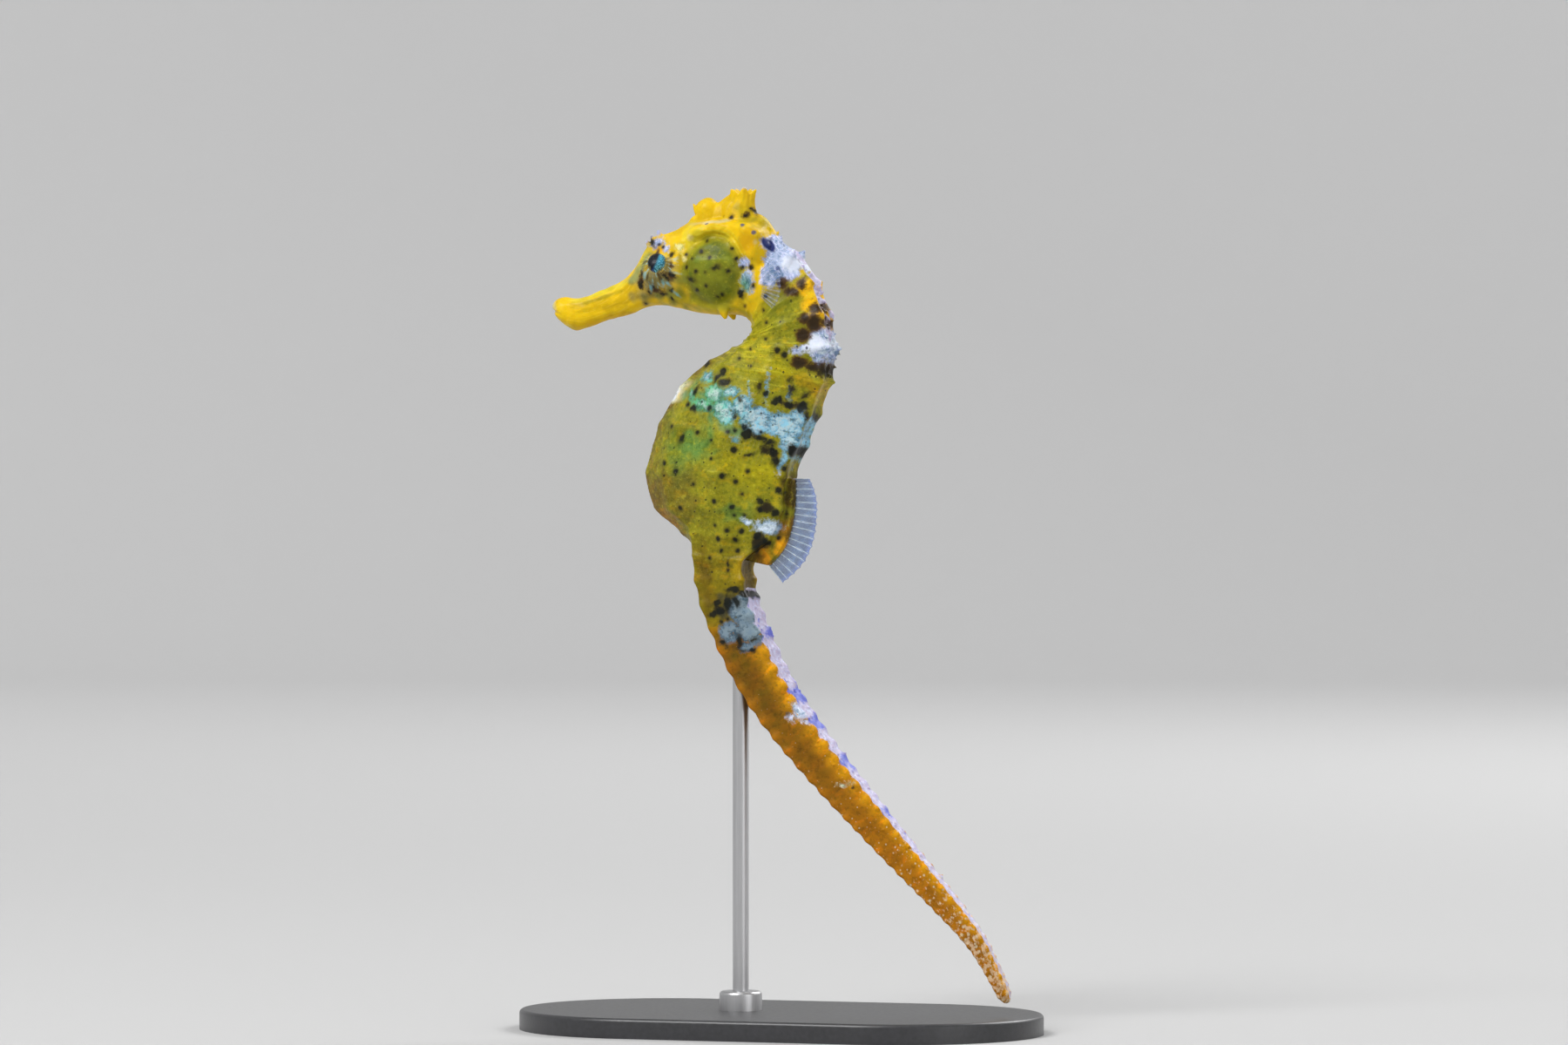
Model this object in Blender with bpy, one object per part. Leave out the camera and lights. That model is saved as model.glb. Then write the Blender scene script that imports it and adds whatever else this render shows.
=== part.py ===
"""A slender seahorse swimming upright, life size, held up by a plain display stand.

The script models in millimetres and writes metres, with +Z up. The animal's plane of symmetry is
the XZ plane, its snout points to -X and its left side faces -Y. The origin is under the middle of
the stand, on the surface that it stands on.

The body is one long loft. Each station is a flat section that runs from a ventral point to a
dorsal point and is spread sideways about that line, so the sections can fan round the throat,
where the head bends over the neck. Eight ridges run along the loft: the belly keel, the lower,
side and upper ridges of each flank, and the middle of the back. Tubercles stand on the ridges at
the edges of the bony rings. On the tail the section turns square. The loft is parted into nodes by
thin cuts.
"""

import math

import bmesh
import bpy
import numpy as np
from mathutils import Vector

MM = 0.001

# ---------------------------------------------------------------- driving dimensions, in mm

CUT = 0.3  # the gap left between nodes
TRUNK_RINGS = 11
TAIL_RINGS = 35
TAIL_PARTS = 6
TAIL_DEPTH = 7.2  # back to front at the root of the tail, without its tubercles
TAIL_WIDTH = 5.9
TAIL_TAPER = 0.77  # share of the thickness lost from the root to the tip
TAIL_TAPER_POWER = 1.4
TAIL_TIP_ROUNDING = 1.6  # length over which the tip closes
TAIL_TIP_BLUNTNESS = 0.14  # share of the thickness that the very end keeps
TAIL_ROOT_BLEND = 14.0  # how soon the tail leaves the shape of the last station
TAIL_RING_SHORTENING = 0.62  # how much shorter the last tail ring is than the first

EYE_RADIUS = 2.4
EYE_PLACE = (-18.4, 2.6, 113.4)  # of either eye, with Y outwards

BASE_LENGTH = 80.0
BASE_WIDTH = 44.0
BASE_THICKNESS = 3.0
BASE_EDGE = 0.6
ROD_RADIUS = 1.2
ROD_X = -6.2
ROD_REACH = 53.0  # inside the tail, which trims the rod's top
COLLAR_RADIUS = 3.2
COLLAR_HEIGHT = 2.6
COLLAR_EDGE = 0.6

# Where the ridges stand in a section: (height from ventral 0 to dorsal 1, share of the half
# width), for the keel, the lower, side and upper ridges, and the middle of the back.
SECTION_SHAPES = {
    "tube": ((0.0, 0.0), (0.16, 0.74), (0.5, 1.0), (0.84, 0.74), (1.0, 0.0)),
    "brow": ((0.0, 0.0), (0.1, 0.55), (0.45, 1.0), (1.0, 0.72), (0.97, 0.0)),
    "skull": ((0.0, 0.0), (0.1, 0.55), (0.42, 1.0), (0.84, 0.7), (1.0, 0.0)),
    "neck": ((0.0, 0.0), (0.13, 0.6), (0.52, 1.0), (0.99, 0.6), (0.955, 0.0)),
    "trunk": ((0.0, 0.0), (0.17, 0.62), (0.56, 1.0), (0.99, 0.5), (0.96, 0.0)),
    "tail": ((0.04, 0.0), (0.0, 0.86), (0.5, 0.93), (1.0, 1.0), (0.95, 0.0)),
}
# How straight the section runs between its ridges, from 0, a smooth oval, to 1, flat faces.
FLATNESS = {"tube": 0.0, "brow": 0.15, "skull": 0.15, "neck": 0.45, "trunk": 0.6, "tail": 0.75}

# name, ventral (x, z), dorsal (x, z), half width, section shape
STATIONS = (
    ("lips", (-35.7, 107.6), (-35.9, 108.9), 0.9, "tube"),
    ("mouth", (-34.9, 106.4), (-35.3, 109.6), 1.7, "tube"),
    ("chin", (-32.5, 104.9), (-34.0, 109.9), 2.15, "tube"),
    ("snout_tip", (-30.4, 105.3), (-31.8, 109.7), 1.95, "tube"),
    ("snout_middle", (-27.0, 106.4), (-28.4, 110.8), 1.8, "tube"),
    ("snout_root", (-23.4, 107.3), (-24.9, 112.3), 2.0, "tube"),
    ("nose", (-20.8, 108.3), (-23.0, 114.0), 2.5, "tube"),
    ("eyes", (-18.4, 108.5), (-20.0, 117.4), 3.1, "brow"),
    ("brow", (-16.2, 108.1), (-17.3, 118.9), 3.5, "brow"),
    ("cheek", (-12.9, 107.4), (-14.4, 120.9), 4.1, "skull"),
    ("gill_cover", (-10.2, 107.0), (-11.0, 121.9), 4.4, "skull"),
    ("crown", (-7.9, 107.0), (-6.8, 122.2), 4.4, "skull"),
    ("occiput", (-6.1, 106.8), (-3.0, 121.9), 4.1, "skull"),
    ("nape", (-4.9, 106.3), (-0.8, 119.5), 3.7, "skull"),
    ("throat", (-4.4, 105.4), (1.6, 116.6), 3.6, "neck"),
    ("neck_top", (-4.4, 104.4), (4.1, 113.8), 3.7, "neck"),
    ("neck", (-5.1, 103.4), (6.5, 108.8), 3.9, "neck"),
    ("neck_root", (-7.0, 102.1), (7.9, 102.6), 4.3, "neck"),
    ("shoulder", (-10.4, 100.4), (7.4, 97.6), 4.8, "trunk"),
    ("chest", (-14.9, 97.0), (5.8, 93.0), 5.4, "trunk"),
    ("belly_top", (-18.8, 90.9), (3.6, 87.6), 5.8, "trunk"),
    ("belly", (-21.0, 83.0), (1.5, 82.4), 5.5, "trunk"),
    ("belly_end", (-19.4, 77.8), (0.9, 77.4), 4.7, "trunk"),
    ("vent", (-15.6, 74.6), (-1.0, 73.6), 3.9, "trunk"),
    ("tail_root", (-12.8, 71.0), (-5.2, 70.2), 3.1, "tail"),
)
# The middle line of the tail, (x, z), from the last station to the tip.
TAIL_LINE = (
    (-8.7, 67.2),
    (-7.2, 61.8),
    (-2.4, 52.0),
    (4.9, 42.1),
    (16.8, 28.9),
    (28.3, 16.6),
    (32.4, 10.8),
    (35.3, 5.0),
)

# The bulges on the sides of the head: (x, z) of the middle, reach along x and z, height.
HEAD_BULGES = (
    ((-18.6, 113.2), (3.1, 3.1), 1.0),  # the raised rim of the eye
    ((-10.3, 113.6), (4.6, 5.0), 0.75),  # the gill cover
    ((-10.8, 119.6), (3.4, 1.1), 0.8),  # the shelf above it
    ((-4.6, 118.4), (2.6, 2.4), 1.0),  # the lobe behind it
)
BULGE_FADE = 1.5  # distance from the plane of symmetry over which a bulge reaches its height

# Spikes of the head as points (x, y outwards, z) with a radius at each.
BROW_SPIKE = (((-18.0, 1.9, 115.6), 1.2), ((-18.1, 2.2, 118.0), 0.7), ((-18.4, 2.4, 119.7), 0.25))
CHEEK_SPIKE = (((-8.5, 1.5, 108.6), 1.1), ((-8.2, 1.9, 107.2), 0.7), ((-7.9, 2.1, 106.3), 0.25))

# The crown on the head, from its root up: middle x, half length, half width, height.
CORONET_LEVELS = (
    (-6.5, 3.5, 2.5, 118.0),
    (-6.4, 3.3, 2.4, 120.5),
    (-6.6, 2.7, 1.9, 122.8),
    (-6.1, 2.0, 1.5, 124.1),
    (-5.7, 1.75, 1.6, 125.5),
)
CORONET_ROWS = 9
CORONET_SIDES = 30
CORONET_POINTS = 5
CORONET_LOBING = 0.16  # share of the radius by which the points stand out
CORONET_RISE = 0.5  # height of the points over the rim
# The low lobe in front of the crown and the saddle that joins them: (centre, radii).
CORONET_LUMPS = (
    ((-11.3, 0.0, 121.2), (2.0, 1.8, 3.4)),
    ((-9.2, 0.0, 120.8), (3.2, 1.6, 3.1)),
)

FIN_THICKNESS = 0.6
DORSAL_FIN_ROOT = ((2.2, 82.4), (2.2, 79.0), (1.7, 75.4), (0.5, 72.1), (-1.7, 69.5))
DORSAL_FIN_RAYS = 17
DORSAL_FIN_LENGTHS = (2.5, 3.7, 3.95, 4.05, 3.4)  # from the top ray to the lowest
DORSAL_FIN_DROOP = 52.0  # degrees below level of the lowest ray
FIN_BASE_THICKNESS = 2.2
FIN_BASE_INWARDS = (-3.6, 0.8)  # from the rays' roots to the base's inner edge, inside the back
FIN_BASE_STEPS = 9

PECTORAL_ROOT_TOP = (-1.9, 3.5, 113.3)  # with Y outwards, inside the neck, which trims it
PECTORAL_ROOT_HEIGHT = 3.8
PECTORAL_RAYS = 7
PECTORAL_SPREAD = 38.0  # degrees above and below level of the outer rays
PECTORAL_FLARE = 20.0  # degrees that the fan stands out from the flank
PECTORAL_REACH = 3.0
PECTORAL_CROWN = 0.9  # how much longer the middle ray is
PECTORAL_THICKNESS = 0.5

# colour, roughness, metallic
MATERIALS = {
    "yellow_skin": ((0.72, 0.5, 0.03), 0.45, 0.0),
    "belly_skin": ((0.45, 0.4, 0.06), 0.45, 0.0),
    "orange_skin": ((0.75, 0.33, 0.01), 0.45, 0.0),
    "eye": ((0.03, 0.08, 0.1), 0.12, 0.0),
    "fin": ((0.6, 0.68, 0.75), 0.35, 0.0),
    "stand_steel": ((0.62, 0.62, 0.63), 0.3, 1.0),
    "stand_base": ((0.03, 0.03, 0.035), 0.35, 0.0),
}

KEEL, LOWER, SIDE, UPPER, BACK = range(5)
MIRRORED_RIDGE = {5: UPPER, 6: SIDE, 7: LOWER}
RIDGES = 8
STEPS_BETWEEN_RIDGES = 3
TUBERCLE_FLANK = 0.35  # how much of a tubercle the points beside its ridge take part in
SIDES = (("left", -1), ("right", 1))


def station(name):
    """The station parameter of a named station."""
    return [entry[0] for entry in STATIONS].index(name)


TAIL_STARTS = station("tail_root")
TAIL_ENDS = TAIL_STARTS + 1.0  # the whole tail is one more unit of the station parameter


# ---------------------------------------------------------------- curves and sections


def bend(before, start, end, after, f):
    """The Catmull-Rom curve from start to end, a share f of the way along."""
    return 0.5 * (
        2 * start
        + (end - before) * f
        + (2 * before - 5 * start + 4 * end - after) * f**2
        + (3 * start - before - 3 * end + after) * f**3
    )


def smooth(values, at):
    """The curve through values, which lie at whole numbers, read at the numbers at."""
    values = np.asarray(values, float)
    last = len(values) - 1
    at = np.clip(np.atleast_1d(np.asarray(at, float)), 0, last)
    index = np.minimum(at.astype(int), last - 1)
    f = (at - index).reshape((-1,) + (1,) * (values.ndim - 1))
    before = values[np.maximum(index - 1, 0)]
    after = values[np.minimum(index + 2, last)]
    return bend(before, values[index], values[index + 1], after, f)


def along(values, share):
    """The same curve, read at one share of its length."""
    return smooth(values, share * (len(values) - 1))[0]


def running_length(points):
    return np.concatenate([[0], np.cumsum(np.linalg.norm(np.diff(points, axis=0), axis=1))])


class TailLine:
    """The tail's middle line, read by its length from root to tip."""

    def __init__(self):
        _, ventral, dorsal, _, _ = STATIONS[-1]
        knots = np.vstack([np.add(ventral, dorsal) / 2, TAIL_LINE])
        self.points = smooth(knots, np.linspace(0, len(TAIL_LINE), 400))
        self.lengths = running_length(self.points)
        self.length = self.lengths[-1]

    def point(self, length):
        return np.array([np.interp(length, self.lengths, self.points[:, k]) for k in (0, 1)])

    def at(self, share):
        """The point at this share of the length, and the way towards the tip."""
        length = share * self.length
        way = self.point(length + 0.4) - self.point(length - 0.4)
        return self.point(length), way / np.linalg.norm(way)


TAIL = TailLine()


def tail_thickness(share):
    """The tail's thickness at this share of its length, as a share of that at its root."""
    taper = 1 - TAIL_TAPER * share**TAIL_TAPER_POWER
    to_tip = min((1 - share) * TAIL.length / TAIL_TIP_ROUNDING, 1)
    return taper * math.sqrt(1 - (1 - to_tip) ** 2 + TAIL_TIP_BLUNTNESS**2)


def tail_section(share):
    """(ventral, dorsal, half width) at a share of the tail's length."""
    point, way = TAIL.at(share)
    to_back = np.array([-way[1], way[0]])
    thickness = tail_thickness(share)
    _, ventral, dorsal, half_width, _ = STATIONS[-1]
    root = math.exp(-share * TAIL_ROOT_BLEND)
    across = to_back * TAIL_DEPTH * thickness * (1 - root) + np.subtract(dorsal, ventral) * root
    width = TAIL_WIDTH / 2 * thickness * (1 - root) + half_width * root
    return point - across / 2, point + across / 2, width


def section(t):
    """(ventral, dorsal, half width, ridge places, flatness) at station parameter t."""
    shape = smooth([SECTION_SHAPES[s[4]] for s in STATIONS], t)[0]
    flatness = smooth([FLATNESS[s[4]] for s in STATIONS], t)[0]
    if t > TAIL_STARTS:
        return *tail_section(t - TAIL_STARTS), shape, flatness
    ventral, dorsal, width = (smooth([s[k] for s in STATIONS], t)[0] for k in (1, 2, 3))
    return ventral, dorsal, width, shape, flatness


def outline(t):
    """The section's points (x, y, z) at t, from the keel up the right flank and down the left."""
    ventral, dorsal, width, shape, flatness = section(t)
    corners = np.array(list(shape) + [(h, -y) for h, y in shape[SIDE + 1 : KEEL : -1]])
    points = []
    for i in range(RIDGES):
        before, start, end, after = (corners[(i + k) % RIDGES] for k in (-1, 0, 1, 2))
        for step in range(STEPS_BETWEEN_RIDGES):
            f = step / STEPS_BETWEEN_RIDGES
            straight = start + (end - start) * f
            round_ = bend(before, start, end, after, f)
            height, side = round_ * (1 - flatness) + straight * flatness
            x, z = ventral + (dorsal - ventral) * height
            points.append((x, side * width, z))
    return np.array(points)


# ---------------------------------------------------------------- rings, tubercles and bulges


def trunk_ring_edges():
    """The station parameters of the trunk rings' edges, evenly spaced along the back."""
    fine = np.linspace(station("nape"), TAIL_STARTS, 300)
    lengths = running_length(np.array([section(t)[1] for t in fine]))
    return np.interp(np.linspace(0, lengths[-1], TRUNK_RINGS + 1), lengths, fine)


def tail_ring_edges():
    """The station parameters of the tail rings' edges, closer together towards the tip."""
    pitch = np.linspace(1, 1 - TAIL_RING_SHORTENING, TAIL_RINGS)
    return TAIL_STARTS + np.concatenate([[0], np.cumsum(pitch)]) / pitch.sum()


TAIL_EDGES = tail_ring_edges()
RING_EDGES = np.concatenate([trunk_ring_edges(), TAIL_EDGES[1:]])


def tubercle_height(ridge, edge):
    """How far a ridge's tubercle stands out at the ring edge of this number."""
    if edge <= TRUNK_RINGS:
        shoulder = math.exp(-(((edge - 3.2) / 2.6) ** 2))
        heights = {KEEL: 0.15, LOWER: 0.25, SIDE: 0.2, UPPER: 0.35 + 0.8 * shoulder}
    else:
        fade = 1 - 0.75 * (edge - TRUNK_RINGS) / TAIL_RINGS
        heights = {LOWER: 0.45 * fade, UPPER: 0.55 * fade}
    return heights.get(MIRRORED_RIDGE.get(ridge, ridge), 0.0)


def raise_tubercles(points, edge):
    """Pushes the ridges of one section outwards from its middle."""
    away = points - points.mean(axis=0)
    away /= np.linalg.norm(away, axis=1)[:, None]
    for ridge in range(RIDGES):
        height = tubercle_height(ridge, edge)
        for step, share in ((-1, TUBERCLE_FLANK), (0, 1.0), (1, TUBERCLE_FLANK)):
            k = (ridge * STEPS_BETWEEN_RIDGES + step) % len(points)
            points[k] += away[k] * height * share


def raise_bulges(points):
    """Swells the head's sides over the eyes, the gill covers and the lobes above them."""
    outwards = np.clip(points[:, 1] / BULGE_FADE, -1, 1)
    for (x, z), (reach_x, reach_z), height in HEAD_BULGES:
        far = ((points[:, 0] - x) / reach_x) ** 2 + ((points[:, 2] - z) / reach_z) ** 2
        points[:, 1] += height * np.exp(-(far**1.5)) * outwards


def loft_rows(start, end, grow=0.0):
    """The body's rows of points between two station parameters, pushed outwards by grow."""
    ring_middles = (RING_EDGES[:-1] + RING_EDGES[1:]) / 2
    head_steps = np.arange(0, station("nape"), 0.5)
    between = np.concatenate([RING_EDGES, ring_middles, head_steps])
    between = between[(between > start + 0.02) & (between < end - 0.02)]
    rows = []
    for t in sorted({start, end, *between}):
        points = outline(t)
        edge = np.flatnonzero(np.isclose(RING_EDGES, t, atol=1e-6))
        if len(edge):
            raise_tubercles(points, edge[0])
        if t <= station("throat"):
            raise_bulges(points)
        away = points - points.mean(axis=0)
        rows.append(points + away / np.linalg.norm(away, axis=1)[:, None] * grow)
    return rows


# ---------------------------------------------------------------- meshes


def material(name):
    """The material of this name, made on first use."""
    if name in bpy.data.materials:
        return bpy.data.materials[name]
    colour, roughness, metallic = MATERIALS[name]
    made = bpy.data.materials.new(name)
    made.use_nodes = True
    shader = made.node_tree.nodes["Principled BSDF"]
    shader.inputs["Base Color"].default_value = (*colour, 1)
    shader.inputs["Roughness"].default_value = roughness
    shader.inputs["Metallic"].default_value = metallic
    return made


def finish(name, bm, look):
    """Makes one object from a bmesh whose points are in mm."""
    bmesh.ops.scale(bm, vec=(MM, MM, MM), verts=bm.verts)
    bmesh.ops.recalc_face_normals(bm, faces=bm.faces)
    mesh = bpy.data.meshes.new(name)
    bm.to_mesh(mesh)
    bm.free()
    mesh.shade_smooth()
    mesh.set_sharp_from_angle(angle=math.radians(40))
    mesh.materials.append(material(look))
    made = bpy.data.objects.new(name, mesh)
    bpy.context.scene.collection.objects.link(made)
    return made


def skin_rows(rows):
    """A closed bmesh through rows of points, each a loop of the same count, with capped ends."""
    bm = bmesh.new()
    loops = [[bm.verts.new(point) for point in row] for row in rows]
    for first, second in zip(loops, loops[1:]):
        for k in range(len(first)):
            after = (k + 1) % len(first)
            bm.faces.new((first[k], first[after], second[after], second[k]))
    caps = [bm.faces.new(loop) for loop in (loops[0], loops[-1])]
    bmesh.ops.triangulate(bm, faces=caps)
    return bm


def extrude(bm, outline_points, way):
    """A closed plate: a flat outline swept along a vector. It returns the far side's points."""
    face = bm.faces.new([bm.verts.new(point) for point in outline_points])
    made = bmesh.ops.extrude_face_region(bm, geom=[face])
    far = [item for item in made["geom"] if isinstance(item, bmesh.types.BMVert)]
    bmesh.ops.translate(bm, vec=way, verts=far)
    return far


def ball(name, centre, radii, look, segments=20):
    bm = bmesh.new()
    bmesh.ops.create_uvsphere(bm, u_segments=segments, v_segments=segments // 2, radius=1)
    bmesh.ops.scale(bm, vec=radii, verts=bm.verts)
    bmesh.ops.translate(bm, vec=centre, verts=bm.verts)
    return finish(name, bm, look)


def tapered(name, line, look, sides=8):
    """A round spike or column through (point, radius) pairs."""
    points = [Vector(point) for point, _ in line]
    rows = []
    for i, (point, (_, radius)) in enumerate(zip(points, line)):
        way = points[min(i + 1, len(points) - 1)] - points[max(i - 1, 0)]
        turn = way.to_track_quat("Z", "X")
        angles = [2 * math.pi * k / sides for k in range(sides)]
        ring = [Vector((radius * math.cos(a), radius * math.sin(a), 0)) for a in angles]
        rows.append([point + turn @ spoke for spoke in ring])
    return finish(name, skin_rows(rows), look)


def boolean(target, other, operation):
    """Joins other to target or cuts it away, and applies the result."""
    modifier = target.modifiers.new(operation.lower(), "BOOLEAN")
    modifier.operation = operation
    modifier.object = other
    graph = bpy.context.evaluated_depsgraph_get()
    mesh = bpy.data.meshes.new_from_object(target.evaluated_get(graph))
    target.modifiers.clear()
    target.data = mesh
    bpy.data.objects.remove(other)
    return target


# ---------------------------------------------------------------- the body


def away_from(row, other):
    """The direction square to a flat row of points, pointing away from the other row."""
    normal = np.cross(row[RIDGES] - row[0], row[2 * RIDGES] - row[0])
    normal /= np.linalg.norm(normal)
    return normal if normal @ (row.mean(axis=0) - other.mean(axis=0)) > 0 else -normal


def body_part(name, start, end, look):
    """One length of the body between two station parameters, less half a cut at each end."""
    rows = loft_rows(start, end)
    if start > 0:
        rows[0] = rows[0] - away_from(rows[0], rows[1]) * CUT / 2
    if end < TAIL_ENDS:
        rows[-1] = rows[-1] - away_from(rows[-1], rows[-2]) * CUT / 2
    return finish(name, skin_rows(rows), look)


def body_cutter(start, end):
    """A length of the body, grown by the width of a cut, to trim what meets it."""
    return finish("cutter", skin_rows(loft_rows(start, end, grow=CUT)), "yellow_skin")


def build_snout_neck_and_trunk():
    body_part("snout", station("lips"), station("nose"), "yellow_skin")
    body_part("neck", station("nape"), station("neck_root"), "yellow_skin")
    body_part("trunk_upper", station("neck_root"), station("belly_top"), "belly_skin")
    body_part("trunk_lower", station("belly_top"), station("tail_root"), "belly_skin")


def build_tail():
    """The tail in lengths of nearly the same number of rings, cut at the rings' edges."""
    cuts = [TAIL_EDGES[round(TAIL_RINGS * k / TAIL_PARTS)] for k in range(TAIL_PARTS + 1)]
    for k in range(TAIL_PARTS):
        body_part(f"tail_{k + 1}", cuts[k], cuts[k + 1], "orange_skin")


def mirrored(line, side):
    return [((x, y * side, z), radius) for (x, y, z), radius in line]


def build_head():
    head = body_part("head", station("nose"), station("nape"), "yellow_skin")
    x, y, z = EYE_PLACE
    for _, side in SIDES:
        for spike in (BROW_SPIKE, CHEEK_SPIKE):
            boolean(head, tapered("spike", mirrored(spike, side), "yellow_skin"), "UNION")
        socket = ball("socket", (x, y * side, z), (EYE_RADIUS + CUT,) * 3, "eye")
        boolean(head, socket, "DIFFERENCE")


def build_eyes():
    x, y, z = EYE_PLACE
    for name, side in SIDES:
        ball(f"{name}_eye", (x, y * side, z), (EYE_RADIUS,) * 3, "eye")


def coronet_row(share):
    """One level of the crown, from its root in the skull to its rim of blunt points."""
    middle, length, width, height = along(CORONET_LEVELS, share)
    row = []
    for k in range(CORONET_SIDES):
        angle = 2 * math.pi * k / CORONET_SIDES
        point = math.cos(CORONET_POINTS * angle)
        lobe = 1 + CORONET_LOBING * share**3 * point
        x = middle + length * lobe * math.cos(angle)
        row.append((x, width * lobe * math.sin(angle), height + CORONET_RISE * share**4 * point))
    return row


def build_coronet():
    rows = [coronet_row(i / (CORONET_ROWS - 1)) for i in range(CORONET_ROWS)]
    crown = finish("coronet", skin_rows(rows), "yellow_skin")
    for centre, radii in CORONET_LUMPS:
        boolean(crown, ball("lump", centre, radii, "yellow_skin", segments=16), "UNION")
    boolean(crown, body_cutter(station("nose"), station("throat")), "DIFFERENCE")


# ---------------------------------------------------------------- fins


def dorsal_fin_ray(share):
    """(root, tip) of the ray at this share of the dorsal fin's root, as (x, z)."""
    root = along(DORSAL_FIN_ROOT, share)
    droop = math.radians(-DORSAL_FIN_DROOP * share**2)
    way = np.array([math.cos(droop), math.sin(droop)])
    return root, root + way * along(DORSAL_FIN_LENGTHS, share)


def plate(name, outline_xz, thickness, look):
    """A flat plate of this outline, centred on the plane of symmetry."""
    bm = bmesh.new()
    extrude(bm, [(x, -thickness / 2, z) for x, z in outline_xz], (0, thickness, 0))
    bmesh.ops.triangulate(bm, faces=bm.faces)
    return finish(name, bm, look)


def build_dorsal_fin():
    rays = [dorsal_fin_ray(i / (DORSAL_FIN_RAYS - 1)) for i in range(DORSAL_FIN_RAYS)]
    roots = [(x + CUT, z) for (x, z), _ in rays]
    plate("dorsal_fin", [tip for _, tip in rays] + roots[::-1], FIN_THICKNESS, "fin")


def build_dorsal_fin_base():
    """The fleshy strip that the rays grow from, let into the back."""
    outer = [along(DORSAL_FIN_ROOT, i / (FIN_BASE_STEPS - 1)) for i in range(FIN_BASE_STEPS)]
    inner = [point + FIN_BASE_INWARDS for point in outer]
    base = plate("dorsal_fin_base", outer + inner[::-1], FIN_BASE_THICKNESS, "orange_skin")
    boolean(base, body_cutter(station("neck_root"), TAIL_STARTS + 0.2), "DIFFERENCE")


def build_pectoral_fin(name, side):
    """A small fan behind the gill cover, which spreads back and a little outwards."""
    x, y, z = PECTORAL_ROOT_TOP
    flare = math.radians(PECTORAL_FLARE)
    roots, tips = [], []
    for i in range(PECTORAL_RAYS):
        share = i / (PECTORAL_RAYS - 1)
        root = Vector((x, y * side, z - PECTORAL_ROOT_HEIGHT * share))
        rise = math.radians(PECTORAL_SPREAD * (1 - 2 * share))
        way = Vector((math.cos(rise) * math.cos(flare), math.sin(flare) * side, math.sin(rise)))
        roots.append(root)
        tips.append(root + way * (PECTORAL_REACH + PECTORAL_CROWN * math.sin(math.pi * share)))
    bm = bmesh.new()
    extrude(bm, roots + tips[::-1], (0, PECTORAL_THICKNESS * side, 0))
    bmesh.ops.triangulate(bm, faces=bm.faces)
    boolean(finish(name, bm, "fin"), body_cutter(station("occiput"), station("neck_root")), "DIFFERENCE")


# ---------------------------------------------------------------- the stand


def stadium(length, width, steps=16):
    """The outline of a plate with half-round ends."""
    radius = width / 2
    straight = length / 2 - radius
    points = []
    for end in (1, -1):
        for k in range(steps + 1):
            angle = math.pi * (k / steps - 0.5)
            points.append((end * (straight + radius * math.cos(angle)), end * radius * math.sin(angle), 0))
    return points


def build_stand_base():
    bm = bmesh.new()
    top = extrude(bm, stadium(BASE_LENGTH, BASE_WIDTH), (0, 0, BASE_THICKNESS))
    rim = [edge for edge in bm.edges if all(vert in top for vert in edge.verts)]
    bmesh.ops.bevel(bm, geom=rim, offset=BASE_EDGE, segments=2, affect="EDGES", profile=0.5)
    finish("stand_base", bm, "stand_base")


def upright(name, levels, look, sides):
    """A round column on the rod's axis through (height, radius) pairs."""
    return tapered(name, [((ROD_X, 0, height), radius) for height, radius in levels], look, sides)


def build_stand_rod():
    """The rod, trimmed where it meets the tail, and the collar round its foot."""
    foot = BASE_THICKNESS + CUT
    rod = upright("stand_rod", [(foot, ROD_RADIUS), (ROD_REACH, ROD_RADIUS)], "stand_steel", 16)
    boolean(rod, body_cutter(TAIL_STARTS, TAIL_STARTS + 0.6), "DIFFERENCE")
    top = foot + COLLAR_HEIGHT
    levels = [(foot, COLLAR_RADIUS), (top - COLLAR_EDGE, COLLAR_RADIUS), (top, COLLAR_RADIUS - COLLAR_EDGE)]
    collar = upright("stand_collar", levels, "stand_steel", 24)
    bore_radius = ROD_RADIUS + CUT
    bore = upright("bore", [(foot - 1, bore_radius), (top + 1, bore_radius)], "stand_steel", 16)
    boolean(collar, bore, "DIFFERENCE")


# ---------------------------------------------------------------- the whole


def main():
    for old in list(bpy.data.objects):
        bpy.data.objects.remove(old)
    build_snout_neck_and_trunk()
    build_tail()
    build_head()
    build_eyes()
    build_coronet()
    build_dorsal_fin()
    build_dorsal_fin_base()
    for name, side in SIDES:
        build_pectoral_fin(f"{name}_pectoral_fin", side)
    build_stand_base()
    build_stand_rod()


main()
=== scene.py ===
"""The looks of a life-size seahorse model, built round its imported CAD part.

Shapes are made in millimetres, in the part's own frame, and written in metres. The animal's plane
of symmetry is the XZ plane, its snout points to -X and its left side faces -Y. The body is the
part's own loft, repeated here with finer rows, on which the tubercles, ring lines and folds of the
head are raised. The crown, spikes and fin base are joined to it by a voxel remesh, so that one skin
with no seam stands for all the flesh. Each point of the skin then gets its place along and round
the body, from which functions lay out the markings.
"""

import math

import bmesh
import bpy
import numpy as np
from mathutils import Matrix, Vector, noise
from mathutils.kdtree import KDTree

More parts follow.
